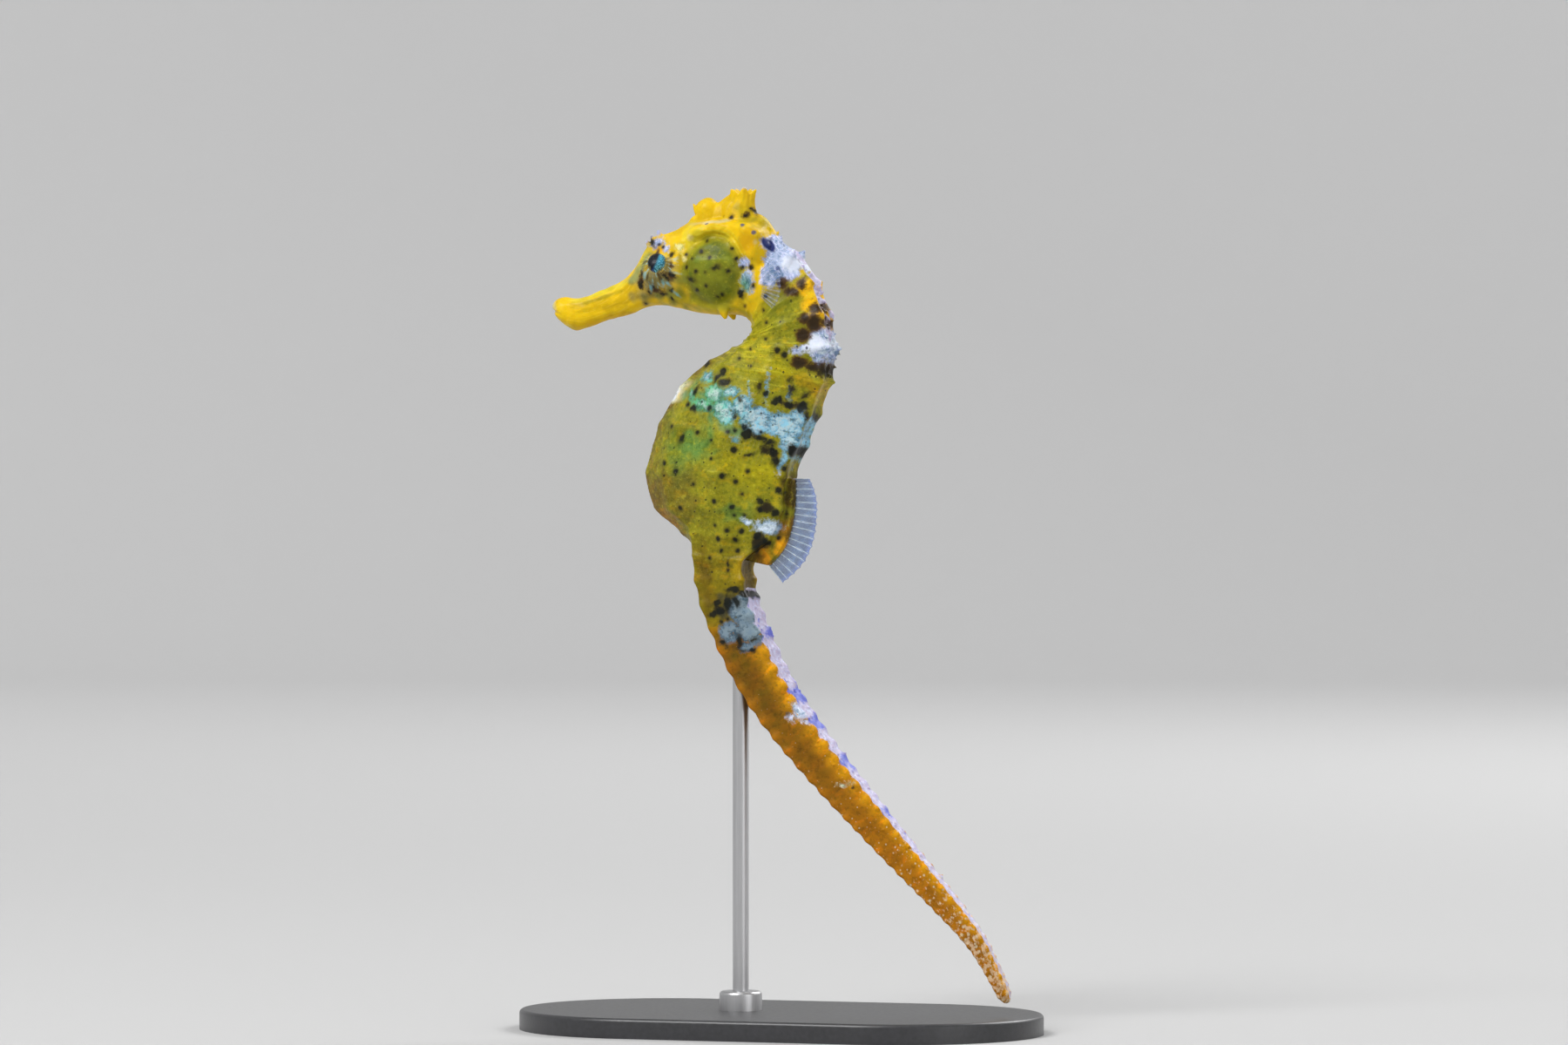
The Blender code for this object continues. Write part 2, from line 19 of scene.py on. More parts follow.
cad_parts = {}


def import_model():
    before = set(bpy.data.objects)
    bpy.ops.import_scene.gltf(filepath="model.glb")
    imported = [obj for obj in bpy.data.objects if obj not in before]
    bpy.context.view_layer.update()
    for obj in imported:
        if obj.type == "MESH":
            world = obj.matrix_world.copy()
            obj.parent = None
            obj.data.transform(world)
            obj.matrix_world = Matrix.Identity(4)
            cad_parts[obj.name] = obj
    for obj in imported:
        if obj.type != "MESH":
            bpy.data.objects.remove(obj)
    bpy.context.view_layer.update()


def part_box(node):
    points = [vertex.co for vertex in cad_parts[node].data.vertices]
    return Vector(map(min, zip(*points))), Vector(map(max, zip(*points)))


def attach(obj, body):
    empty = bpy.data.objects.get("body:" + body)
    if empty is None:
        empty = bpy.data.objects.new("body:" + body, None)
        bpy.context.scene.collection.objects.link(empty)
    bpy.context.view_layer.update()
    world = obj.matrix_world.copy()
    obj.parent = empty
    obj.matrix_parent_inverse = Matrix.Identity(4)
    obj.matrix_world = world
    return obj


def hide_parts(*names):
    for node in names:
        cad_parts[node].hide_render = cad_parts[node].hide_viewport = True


MM = 0.001

# ---------------------------------------------------------------- the part's own dimensions, in mm

TRUNK_RINGS = 11
TAIL_RINGS = 35
TAIL_DEPTH = 7.2
TAIL_WIDTH = 5.9
TAIL_TAPER = 0.77
TAIL_TAPER_POWER = 1.4
TAIL_TIP_ROUNDING = 1.6
TAIL_TIP_BLUNTNESS = 0.14
TAIL_ROOT_BLEND = 14.0
TAIL_RING_SHORTENING = 0.62

# Where the ridges stand in a section: (height from ventral 0 to dorsal 1, share of the half
# width), for the keel, the lower, side and upper ridges, and the middle of the back.
SECTION_SHAPES = {
    "tube": ((0.0, 0.0), (0.16, 0.74), (0.5, 1.0), (0.84, 0.74), (1.0, 0.0)),
    "brow": ((0.0, 0.0), (0.1, 0.55), (0.45, 1.0), (1.0, 0.72), (0.97, 0.0)),
    "skull": ((0.0, 0.0), (0.1, 0.55), (0.42, 1.0), (0.84, 0.7), (1.0, 0.0)),
    "neck": ((0.0, 0.0), (0.13, 0.6), (0.52, 1.0), (0.99, 0.6), (0.955, 0.0)),
    "trunk": ((0.0, 0.0), (0.17, 0.62), (0.56, 1.0), (0.99, 0.5), (0.96, 0.0)),
    "tail": ((0.04, 0.0), (0.0, 0.86), (0.5, 0.93), (1.0, 1.0), (0.95, 0.0)),
}
# How straight the section runs between its ridges, from 0, a smooth oval, to 1, flat faces.
FLATNESS = {"tube": 0.0, "brow": 0.15, "skull": 0.15, "neck": 0.45, "trunk": 0.6, "tail": 0.75}

# name, ventral (x, z), dorsal (x, z), half width, section shape
STATIONS = (
    ("lips", (-35.7, 107.6), (-35.9, 108.9), 0.9, "tube"),
    ("mouth", (-34.9, 106.4), (-35.3, 109.6), 1.7, "tube"),
    ("chin", (-32.5, 104.9), (-34.0, 109.9), 2.15, "tube"),
    ("snout_tip", (-30.4, 105.3), (-31.8, 109.7), 1.95, "tube"),
    ("snout_middle", (-27.0, 106.4), (-28.4, 110.8), 1.8, "tube"),
    ("snout_root", (-23.4, 107.3), (-24.9, 112.3), 2.0, "tube"),
    ("nose", (-20.8, 108.3), (-23.0, 114.0), 2.5, "tube"),
    ("eyes", (-18.4, 108.5), (-20.0, 117.4), 3.1, "brow"),
    ("brow", (-16.2, 108.1), (-17.3, 118.9), 3.5, "brow"),
    ("cheek", (-12.9, 107.4), (-14.4, 120.9), 4.1, "skull"),
    ("gill_cover", (-10.2, 107.0), (-11.0, 121.9), 4.4, "skull"),
    ("crown", (-7.9, 107.0), (-6.8, 122.2), 4.4, "skull"),
    ("occiput", (-6.1, 106.8), (-3.0, 121.9), 4.1, "skull"),
    ("nape", (-4.9, 106.3), (-0.8, 119.5), 3.7, "skull"),
    ("throat", (-4.4, 105.4), (1.6, 116.6), 3.6, "neck"),
    ("neck_top", (-4.4, 104.4), (4.1, 113.8), 3.7, "neck"),
    ("neck", (-5.1, 103.4), (6.5, 108.8), 3.9, "neck"),
    ("neck_root", (-7.0, 102.1), (7.9, 102.6), 4.3, "neck"),
    ("shoulder", (-10.4, 100.4), (7.4, 97.6), 4.8, "trunk"),
    ("chest", (-14.9, 97.0), (5.8, 93.0), 5.4, "trunk"),
    ("belly_top", (-18.8, 90.9), (3.6, 87.6), 5.8, "trunk"),
    ("belly", (-21.0, 83.0), (1.5, 82.4), 5.5, "trunk"),
    ("belly_end", (-19.4, 77.8), (0.9, 77.4), 4.7, "trunk"),
    ("vent", (-15.6, 74.6), (-1.0, 73.6), 3.9, "trunk"),
    ("tail_root", (-12.8, 71.0), (-5.2, 70.2), 3.1, "tail"),
)
# The middle line of the tail, (x, z), from the last station to the tip.
TAIL_LINE = (
    (-8.7, 67.2),
    (-7.2, 61.8),
    (-2.4, 52.0),
    (4.9, 42.1),
    (16.8, 28.9),
    (28.3, 16.6),
    (32.4, 10.8),
    (35.3, 5.0),
)

# The bulges on the sides of the head: (x, z) of the middle, reach along x and z, height.
HEAD_BULGES = (
    ((-18.6, 113.2), (3.1, 3.1), 0.6),  # the raised rim of the eye
    ((-10.3, 113.6), (4.6, 5.0), 0.75),  # the gill cover
    ((-10.8, 119.6), (3.4, 1.1), 0.8),  # the shelf above it
    ((-4.6, 118.4), (2.6, 2.4), 1.0),  # the lobe behind it
)
BULGE_FADE = 1.5

BROW_SPIKE = (((-18.0, 1.9, 115.6), 1.2), ((-18.1, 2.2, 118.0), 0.7), ((-18.4, 2.4, 119.7), 0.25))
CHEEK_SPIKE = (((-8.5, 1.5, 108.6), 1.1), ((-8.2, 1.9, 107.2), 0.7), ((-7.9, 2.1, 106.3), 0.25))

# The crown on the head, from its root up: middle x, half length, half width, height.
CORONET_LEVELS = (
    (-6.5, 3.5, 2.5, 118.0),
    (-6.4, 3.3, 2.4, 120.5),
    (-6.6, 2.7, 1.9, 122.8),
    (-6.1, 2.0, 1.5, 124.1),
    (-5.7, 1.75, 1.6, 125.5),
)
CORONET_POINTS = 5
CORONET_LOBING = 0.16
CORONET_RISE = 0.5
CORONET_LUMPS = (
    ((-11.3, 0.0, 121.2), (2.0, 1.8, 3.4)),
    ((-9.2, 0.0, 120.8), (3.2, 1.6, 3.1)),
)

DORSAL_FIN_ROOT = ((2.2, 82.4), (2.2, 79.0), (1.7, 75.4), (0.5, 72.1), (-1.7, 69.5))
DORSAL_FIN_RAYS = 17
DORSAL_FIN_LENGTHS = (2.5, 3.7, 3.95, 4.05, 3.4)
DORSAL_FIN_DROOP = 52.0
FIN_BASE_THICKNESS = 2.2
FIN_BASE_INWARDS = (-3.6, 0.8)

PECTORAL_ROOT_TOP = (-1.9, 3.5, 113.3)
PECTORAL_ROOT_HEIGHT = 3.8
PECTORAL_SPREAD = 38.0
PECTORAL_FLARE = 20.0
PECTORAL_REACH = 3.0
PECTORAL_CROWN = 0.9

ROD_RADIUS = 1.2
ROD_X = -6.2

KEEL, LOWER, SIDE, UPPER, BACK = range(5)
MIRRORED_RIDGE = {5: UPPER, 6: SIDE, 7: LOWER}
RIDGES = 8
SIDES = (("left", -1), ("right", 1))

# ---------------------------------------------------------------- the finer dimensions, in mm

STEPS_BETWEEN_RIDGES = 16
ROW_PITCH = 0.2
VOXEL = 0.15
SMOOTHING_ROUNDS = 3
NOISE_SEED = 5  # without one, noise_vector differs from run to run


def station(name):
    """The station parameter of a named station."""
    return [entry[0] for entry in STATIONS].index(name)


TAIL_STARTS = station("tail_root")
TAIL_ENDS = TAIL_STARTS + 1.0


# ---------------------------------------------------------------- curves and sections


def bend(before, start, end, after, f):
    """The Catmull-Rom curve from start to end, a share f of the way along."""
    return 0.5 * (
        2 * start
        + (end - before) * f
        + (2 * before - 5 * start + 4 * end - after) * f**2
        + (3 * start - before - 3 * end + after) * f**3
    )


def smooth(values, at):
    """The curve through values, which lie at whole numbers, read at the numbers at."""
    values = np.asarray(values, float)
    last = len(values) - 1
    at = np.clip(np.atleast_1d(np.asarray(at, float)), 0, last)
    index = np.minimum(at.astype(int), last - 1)
    f = (at - index).reshape((-1,) + (1,) * (values.ndim - 1))
    before = values[np.maximum(index - 1, 0)]
    after = values[np.minimum(index + 2, last)]
    return bend(before, values[index], values[index + 1], after, f)


def along(values, shares):
    """The same curve, read at shares of its length."""
    return smooth(values, np.asarray(shares) * (len(values) - 1))


def running_length(points):
    return np.concatenate([[0], np.cumsum(np.linalg.norm(np.diff(points, axis=0), axis=1))])


def ease(low, high, value):
    """0 below low and 1 above high, with a smooth step between."""
    f = np.clip((value - low) / (high - low), 0, 1)
    return f * f * (3 - 2 * f)


def hump(offset, width):
    """1 in the middle of a soft ridge, falling away over its width."""
    return np.exp(-((offset / width) ** 2))


class TailLine:
    """The tail's middle line, read by its length from root to tip."""

    def __init__(self):
        _, ventral, dorsal, _, _ = STATIONS[-1]
        knots = np.vstack([np.add(ventral, dorsal) / 2, TAIL_LINE])
        self.points = smooth(knots, np.linspace(0, len(TAIL_LINE), 400))
        self.lengths = running_length(self.points)
        self.length = self.lengths[-1]

    def points_at(self, length):
        return np.stack([np.interp(length, self.lengths, self.points[:, k]) for k in (0, 1)], 1)

    def at(self, share):
        """The points at these shares of the length, and the ways towards the tip."""
        length = share * self.length
        way = self.points_at(length + 0.4) - self.points_at(length - 0.4)
        return self.points_at(length), way / np.linalg.norm(way, axis=1)[:, None]


TAIL = TailLine()


def tail_thickness(share):
    """The tail's thickness at these shares of its length, as a share of that at its root."""
    taper = 1 - TAIL_TAPER * share**TAIL_TAPER_POWER
    to_tip = np.minimum((1 - share) * TAIL.length / TAIL_TIP_ROUNDING, 1)
    return taper * np.sqrt(1 - (1 - to_tip) ** 2 + TAIL_TIP_BLUNTNESS**2)


def tail_sections(share):
    """(ventral, dorsal, half width) at shares of the tail's length."""
    points, ways = TAIL.at(share)
    to_back = np.stack([-ways[:, 1], ways[:, 0]], 1)
    thickness = tail_thickness(share)[:, None]
    _, ventral, dorsal, half_width, _ = STATIONS[-1]
    root = np.exp(-share * TAIL_ROOT_BLEND)[:, None]
    across = to_back * TAIL_DEPTH * thickness * (1 - root) + np.subtract(dorsal, ventral) * root
    width = TAIL_WIDTH / 2 * thickness * (1 - root) + half_width * root
    return points - across / 2, points + across / 2, width[:, 0]


def sections(t):
    """(ventral, dorsal, half width, ridge places, flatness) at station parameters t."""
    shape = smooth([SECTION_SHAPES[s[4]] for s in STATIONS], t)
    flatness = smooth([FLATNESS[s[4]] for s in STATIONS], t)
    ventral, dorsal, width = (smooth([s[k] for s in STATIONS], t) for k in (1, 2, 3))
    tail = t > TAIL_STARTS
    if tail.any():
        ventral[tail], dorsal[tail], width[tail] = tail_sections(t[tail] - TAIL_STARTS)
    return ventral, dorsal, width, shape, flatness


def outlines(t, steps):
    """Rows of points (x, y, z) at t, each from the keel up the right flank and down the left."""
    ventral, dorsal, width, shape, flatness = sections(t)
    corners = np.concatenate([shape, shape[:, SIDE + 1 : KEEL : -1] * (1, -1)], axis=1)
    f = (np.arange(steps) / steps)[None, :, None]
    flat = flatness[:, None, None]
    spans = []
    for i in range(RIDGES):
        before, start, end, after = (corners[:, (i + k) % RIDGES, None] for k in (-1, 0, 1, 2))
        curved = bend(before, start, end, after, f)
        spans.append(curved * (1 - flat) + (start + (end - start) * f) * flat)
    places = np.concatenate(spans, axis=1)
    middle = ventral[:, None] + (dorsal - ventral)[:, None] * places[..., :1]
    return np.stack([middle[..., 0], places[..., 1] * width[:, None], middle[..., 1]], -1)


def trunk_ring_edges():
    """The station parameters of the trunk rings' edges, evenly spaced along the back."""
    fine = np.linspace(station("nape"), TAIL_STARTS, 300)
    lengths = running_length(sections(fine)[1])
    return np.interp(np.linspace(0, lengths[-1], TRUNK_RINGS + 1), lengths, fine)


def tail_ring_edges():
    """The station parameters of the tail rings' edges, closer together towards the tip."""
    pitch = np.linspace(1, 1 - TAIL_RING_SHORTENING, TAIL_RINGS)
    return TAIL_STARTS + np.concatenate([[0], np.cumsum(pitch)]) / pitch.sum()


RING_EDGES = np.concatenate([trunk_ring_edges(), tail_ring_edges()[1:]])


# ---------------------------------------------------------------- the relief of the body

TUBERCLE_LENGTH = 0.2  # in rings
TAIL_TUBERCLE_LENGTH = 0.34
TUBERCLE_WIDTH = 0.3  # in spaces between ridges
RING_LINE_HEIGHT = 0.12
RING_LINE_LENGTH = 0.1
RIDGE_LINE_HEIGHT = 0.05
RIDGE_LINE_WIDTH = 0.16
PLATE_HOLLOW = 0.1
BACK_FILL = 0.5  # how far the flesh fills the groove between the trunk's upper ridges


def tubercle_heights():
    """How far the tubercle stands out at each ring edge, for each ridge."""
    heights = np.zeros((len(RING_EDGES), RIDGES))
    for edge in range(len(RING_EDGES)):
        if edge <= TRUNK_RINGS:
            shoulder = hump(edge - 3.2, 2.6)
            own = {KEEL: 0.15, LOWER: 0.18, SIDE: 0.2, UPPER: 0.2 + 0.35 * shoulder}
        else:
            fade = 1 - 0.75 * (edge - TRUNK_RINGS) / TAIL_RINGS
            own = {LOWER: 0.32 * fade, SIDE: 0.1 * fade, UPPER: 0.42 * fade}
        for ridge in range(RIDGES):
            heights[edge, ridge] = own.get(MIRRORED_RIDGE.get(ridge, ridge), 0.0)
    return heights


def ring_places(t):
    """How many rings behind the nape each station parameter lies; negative on the head."""
    rings = np.interp(t, RING_EDGES, np.arange(len(RING_EDGES)))
    return np.where(t < RING_EDGES[0], (t - RING_EDGES[0]) * 1.5, rings)


def ring_relief(rings, ridges):
    """The height of tubercles, ring lines and ridge lines over the plates, by rows and columns."""
    nearest = np.clip(np.round(rings), 0, len(RING_EDGES) - 1).astype(int)
    off = rings - nearest
    round_body = np.abs((ridges[None] - np.arange(RIDGES)[:, None] + 4) % RIDGES - 4)
    on_tail = ease(TRUNK_RINGS - 1, TRUNK_RINGS + 3, rings)
    length = TUBERCLE_LENGTH + (TAIL_TUBERCLE_LENGTH - TUBERCLE_LENGTH) * on_tail
    tubercles = (tubercle_heights()[nearest] * hump(off, length)[:, None]) @ hump(
        round_body, TUBERCLE_WIDTH
    )
    nearest_ridge = round_body.min(axis=0)
    size = 1 - 0.75 * on_tail
    on_rings = size * ease(0.0, 1.5, rings)
    line = hump(off, RING_LINE_LENGTH)[:, None] * (0.5 + 0.5 * hump(nearest_ridge, 0.4))[None]
    ridge_line = hump(nearest_ridge, RIDGE_LINE_WIDTH)[None]
    hollow = (1 - hump(off, 0.3))[:, None] * (1 - hump(nearest_ridge, 0.3))[None]
    lines = RING_LINE_HEIGHT * line + RIDGE_LINE_HEIGHT * ridge_line - PLATE_HOLLOW * hollow
    on_trunk = ease(2.0, 4.0, rings) * ease(TRUNK_RINGS, TRUNK_RINGS - 1, rings)
    fill = BACK_FILL * on_trunk[:, None] * hump(round_body[BACK], 0.6)
    return tubercles + lines * on_rings[:, None] + fill


def side_reach(points, centre, reach, tilt=0.0):
    """How far out from an ellipse's middle each point lies in side view: 1 on its edge."""
    turn = math.radians(tilt)
    x = points[..., 0] - centre[0]
    z = points[..., 2] - centre[1]
    u = (x * math.cos(turn) + z * math.sin(turn)) / reach[0]
    v = (z * math.cos(turn) - x * math.sin(turn)) / reach[1]
    return np.hypot(u, v)


GILL_COVER = ((-9.2, 113.4), (3.95, 4.8))
GILL_DOME = 0.4
GILL_GROOVE = 0.16
GILL_FOLD = 0.1
# Ridges and hollows on the sides of the head: a line of (x, z), half width, height.
HEAD_FOLDS = (
    (((-13.8, 117.8), (-12.2, 119.3), (-9.0, 120.3), (-5.4, 119.9), (-2.7, 118.9)), 0.75, 0.65),  # shelf
    (((-4.2, 118.8), (-2.9, 118.2), (-2.5, 117.0), (-3.1, 115.9)), 1.1, 0.75),  # the lobe behind it
    (((-12.4, 117.6), (-9.0, 118.9), (-5.8, 118.2), (-4.3, 116.4)), 0.4, -0.3),
    (((-1.2, 120.4), (-0.6, 118.4), (-0.9, 116.0), (-2.0, 114.6)), 0.45, -0.6),  # gill opening
    (((-8.2, 121.7), (-5.0, 121.6), (-2.6, 120.5)), 0.5, -0.3),
    (((-17.0, 116.8), (-14.6, 117.7)), 0.6, 0.3),  # ridge behind the brow
    (((-14.9, 115.8), (-14.2, 112.2), (-13.6, 109.2)), 0.7, -0.22),
    (((-4.6, 115.0), (-3.9, 112.0), (-4.6, 109.2)), 0.6, -0.3),
    (((-14.0, 108.9), (-10.0, 108.1), (-6.5, 108.4)), 0.4, 0.16),  # jaw
    (((-33.4, 108.6), (-27.0, 110.0), (-22.4, 112.2)), 0.45, 0.12),  # snout
    (((-31.8, 107.1), (-26.0, 108.1), (-20.6, 109.6)), 0.4, -0.12),
    (((-33.8, 109.2), (-33.2, 107.4), (-33.4, 105.6)), 0.35, -0.12),
)
LUMPS = 0.07  # height of the skin's soft unevenness
MOUTH_SLIT = ((-35.6, 107.75), (1.5, 0.16), -24.0, -0.35)


def line_distance(points, line):
    """How far each point lies from a line of (x, z) corners, in side view."""
    best = np.full(points.shape[:-1], np.inf)
    for start, end in zip(line, line[1:]):
        way = np.subtract(end, start)
        off = points[..., [0, 2]] - start
        share = np.clip(off @ way / (way @ way), 0, 1)
        best = np.minimum(best, np.linalg.norm(off - share[..., None] * way, axis=-1))
    return best


def gill_folds(points):
    """Fine folds in arcs behind and above the gill cover, from -1 to 1."""
    centre, reach = GILL_COVER
    out = side_reach(points, centre, reach)
    behind = ease(-2.0, 2.0, (points[..., 0] - centre[0]) + (points[..., 2] - centre[1]))
    return np.sin((out - 1.1) * 48) * hump(out - 1.3, 0.2) * behind


def gill_cover_relief(points):
    """A shallow dome with a groove round it, and fine folds behind and above the groove."""
    centre, reach = GILL_COVER
    out = side_reach(points, centre, reach)
    dome = GILL_DOME * (1 - ease(0.72, 1.04, out))
    groove = -GILL_GROOVE * hump(out - 1.08, 0.09)
    folds = GILL_FOLD * gill_folds(points)
    band = 0.13 * hump(points[..., 2] - centre[1] - 1.5, 0.35) * (1 - ease(0.85, 1.0, out))
    return dome + groove + folds + band


def head_relief(points, normals):
    """The small forms of the head and mouth, which fade where the skin doesn't face sideways."""
    sideways = ease(0.25, 0.7, np.abs(normals[..., 1]))
    height = gill_cover_relief(points)
    for line, width, rise in HEAD_FOLDS:
        height = height + rise * hump(line_distance(points, line), width)
    centre, reach, tilt, rise = MOUTH_SLIT
    slit = rise * hump(side_reach(points, centre, reach, tilt), 1.0)
    return height * sideways + slit


def raise_bulges(points):
    """Swells the head's sides over the eyes, the gill covers and the lobes above them."""
    outwards = np.clip(points[..., 1] / BULGE_FADE, -1, 1)
    swelling = 0
    for centre, reach, height in HEAD_BULGES:
        swelling = swelling + height * np.exp(-(side_reach(points, centre, reach) ** 3))
    points[..., 1] += swelling * outwards


def grid_normals(points):
    """The outward normals of a grid of rows of points."""
    across = np.roll(points, -1, axis=1) - np.roll(points, 1, axis=1)
    normals = np.cross(across, np.gradient(points, axis=0))
    normals /= np.maximum(np.linalg.norm(normals, axis=2), 1e-9)[..., None]
    away = points - points.mean(axis=1, keepdims=True)
    return normals if (normals * away).sum() > 0 else -normals


def row_stations():
    """Station parameters whose rows lie about the row pitch apart on the surface."""
    fine = np.linspace(0, TAIL_ENDS, 6000)
    ventral, dorsal = sections(fine)[:2]
    steps = [np.linalg.norm(np.diff(line, axis=0), axis=1) for line in (ventral, dorsal)]
    run = np.concatenate([[0], np.cumsum(np.maximum(*steps))])
    return np.interp(np.linspace(0, run[-1], int(run[-1] / ROW_PITCH)), run, fine)


def lumps(points):
    """The soft unevenness of the skin at each point, mostly from -1 to 1."""
    places = [Vector(point) for point in points.reshape(-1, 3).tolist()]
    heights = [noise.noise(place * 0.75) + 0.5 * noise.noise(place * 1.9) for place in places]
    return np.reshape(heights, points.shape[:-1])


class Body:
    """The fine loft: its points, and where each lies along and round the body."""

    def __init__(self):
        t = row_stations()
        self.points = outlines(t, STEPS_BETWEEN_RIDGES)
        columns = self.points.shape[1]
        self.rings = ring_places(t)
        self.ridges = np.arange(columns) / STEPS_BETWEEN_RIDGES
        on_head = t <= station("throat")
        head = self.points[on_head]
        raise_bulges(head)
        self.points[on_head] = head
        ventral, dorsal = sections(t)[:2]
        self.lengths = running_length((ventral + dorsal) / 2)
        girth = np.linalg.norm(np.roll(self.points, -1, axis=1) - self.points, axis=2)
        round_body = np.cumsum(girth, axis=1) - girth
        back = BACK * STEPS_BETWEEN_RIDGES
        self.across = round_body - round_body[:, back : back + 1]
        self.smooth_points = self.points
        normals = grid_normals(self.points)
        relief = ring_relief(self.rings, self.ridges)
        relief[on_head] += head_relief(self.points[on_head], normals[on_head])
        relief += LUMPS * lumps(self.points)
        self.points = self.points + normals * relief[..., None]


# ---------------------------------------------------------------- shapes joined to the body

# Lobes of the crown that only the skin has: (middle, radii).
FRONT_LOBE = ((-11.4, 0.0, 122.5), (1.9, 1.75, 2.0))
FOREHEAD = ((-12.7, 0.0, 119.9), (1.9, 1.7, 2.2))
# The crown's sloping front edge, a tube of (point, radius).
CORONET_FRONT = (
    ((-10.0, 0.0, 122.2), 1.0),
    ((-8.5, 0.0, 123.5), 0.95),
    ((-7.4, 0.0, 124.5), 0.75),
    ((-6.9, 0.0, 125.3), 0.5),
)
# Small knobs and spikes beside the plane of symmetry, as tubes of (point, radius).
CROWN_KNOBS = (
    (((-12.8, 0.6, 122.4), 0.55), ((-13.2, 0.8, 123.2), 0.3), ((-13.4, 0.9, 123.7), 0.12)),
    (((-12.3, 0.5, 123.2), 0.55), ((-12.6, 0.5, 123.9), 0.25)),
)
BROW_KNOBS = (
    (((-19.4, 1.7, 116.8), 0.7), ((-20.1, 2.0, 117.7), 0.4), ((-20.5, 2.1, 118.2), 0.12)),
    (((-18.6, 1.8, 117.0), 0.8), ((-19.3, 2.1, 118.3), 0.45), ((-19.6, 2.2, 118.9), 0.18)),
    (((-17.8, 1.9, 117.6), 0.9), ((-18.3, 2.2, 118.8), 0.6), ((-18.4, 2.3, 119.4), 0.3)),
    (((-16.6, 1.9, 118.0), 0.9), ((-16.5, 2.2, 118.9), 0.5)),
    (((-15.0, 1.0, 119.0), 0.6), ((-15.2, 1.1, 120.2), 0.2)),
)
# The eye turns within a turret of skin, with an oval opening about the gaze.
EYE_GAZE = (0.13, 0.84, 0.52)  # with Y outwards
TURRET_CENTRE = (-18.3, 2.45, 113.7)
TURRET_RADIUS = 2.6
EYE_OPENING = (1.5, 2.0)  # half width and half height, along the turret
EYE_RIM = 0.12
EYE_RIM_STEPS = 72
EYE_IN_SIDE_VIEW = (-18.0, 115.0)  # the middle of the opening
EYE_RING_SHAPE = (0.68, 1.0)  # of the ring of dashes round it
NECK_SPINES = (0.5, 1.1, 0.8, 0.7, 1.0, 0.8, 0.4)  # heights at the ring edges from the nape on
# How many soft points grow on a stretch of the back, between these rings, and how tall at most.
PAPILLAE = ((130, (-0.6, 5.0), 0.55), (150, (12.4, 34.0), 0.34))


class Shapes:
    """Closed shapes in mm, gathered into one mesh."""

    def __init__(self):
        self.points = []
        self.faces = []
        self.count = 0

    def rows(self, rows, closed=False):
        """A skin through rows of points, each a loop of the same count, capped unless closed."""
        rows = np.asarray(rows, float)
        many, sides = rows.shape[:2]
        index = np.arange(many * sides).reshape(many, sides) + self.count
        before = index if closed else index[:-1]
        after = np.roll(index, -1, axis=0) if closed else index[1:]
        quads = [before, np.roll(before, -1, axis=1), np.roll(after, -1, axis=1), after]
        self.faces += np.stack(quads, -1).reshape(-1, 4).tolist()
        if not closed:
            self.faces += [index[0][::-1].tolist(), index[-1].tolist()]
        self.points.append(rows.reshape(-1, 3))
        self.count += many * sides

    def ball(self, centre, radii, segments=32):
        """An ellipsoid."""
        tilts = np.linspace(0.02, math.pi - 0.02, segments // 2)
        angles = np.arange(segments) * 2 * math.pi / segments
        rows = [
            [(math.sin(v) * math.cos(u), math.sin(v) * math.sin(u), -math.cos(v)) for u in angles]
            for v in tilts
        ]
        self.rows(np.array(rows) * radii + centre)

    def tube(self, line, sides=16, closed=False):
        """A round tube through (point, radius) pairs."""
        points = [Vector(point) for point, _ in line]
        rows = []
        for i, (point, (_, radius)) in enumerate(zip(points, line)):
            if closed:
                way = points[(i + 1) % len(points)] - points[i - 1]
            else:
                way = points[min(i + 1, len(points) - 1)] - points[max(i - 1, 0)]
            turn = way.to_track_quat("Z", "Y")
            angles = [2 * math.pi * k / sides for k in range(sides)]
            ring = [Vector((radius * math.cos(a), radius * math.sin(a), 0)) for a in angles]
            rows.append([point + turn @ spoke for spoke in ring])
        self.rows(rows, closed)

    def mesh(self, name):
        """The gathered shapes as a mesh, still in mm, with its faces turned outwards."""
        bm = bmesh.new()
        made = bpy.data.meshes.new(name)
        made.from_pydata(np.concatenate(self.points).tolist(), [], self.faces)
        bm.from_mesh(made)
        bmesh.ops.recalc_face_normals(bm, faces=bm.faces)
        bm.to_mesh(made)
        bm.free()
        return made


def mirrored(line, side):
    return [((x, y * side, z), radius) for (x, y, z), radius in line]


def coronet_row(share, turns=120):
    """One level of the crown, from its root in the skull to its rim of points."""
    middle, length, width, height = along(CORONET_LEVELS, [share])[0]
    angles = np.arange(turns) * 2 * math.pi / turns
    points = np.cos(CORONET_POINTS * angles)
    folds = 0.06 * share**2 * np.cos(3 * CORONET_POINTS * angles + 0.6)
    lobe = 1 + CORONET_LOBING * share**3 * points + folds
    rise = CORONET_RISE * share**4 * (points + 0.25 * np.cos(2 * angles + 2.6))
    return np.stack(
        [middle + length * lobe * np.cos(angles), width * lobe * np.sin(angles), height + rise], 1
    )


def add_coronet(shapes):
    """The crown with its hollow top, and the lobe and saddle in front of it."""
    rows = [coronet_row(share) for share in np.linspace(0, 1, 24)]
    rim = rows[-1]
    middle = rim.mean(axis=0)
    for inwards, drop in ((0.75, 0.25), (0.5, 0.6), (0.25, 0.75), (0.05, 0.8)):
        rows.append(middle + (rim - middle) * inwards - (0, 0, drop))
    shapes.rows(rows)
    for centre, radii in CORONET_LUMPS:
        shapes.ball(centre, radii)
    shapes.ball(*FRONT_LOBE)
    shapes.tube(CORONET_FRONT)
    shapes.ball(*FOREHEAD)


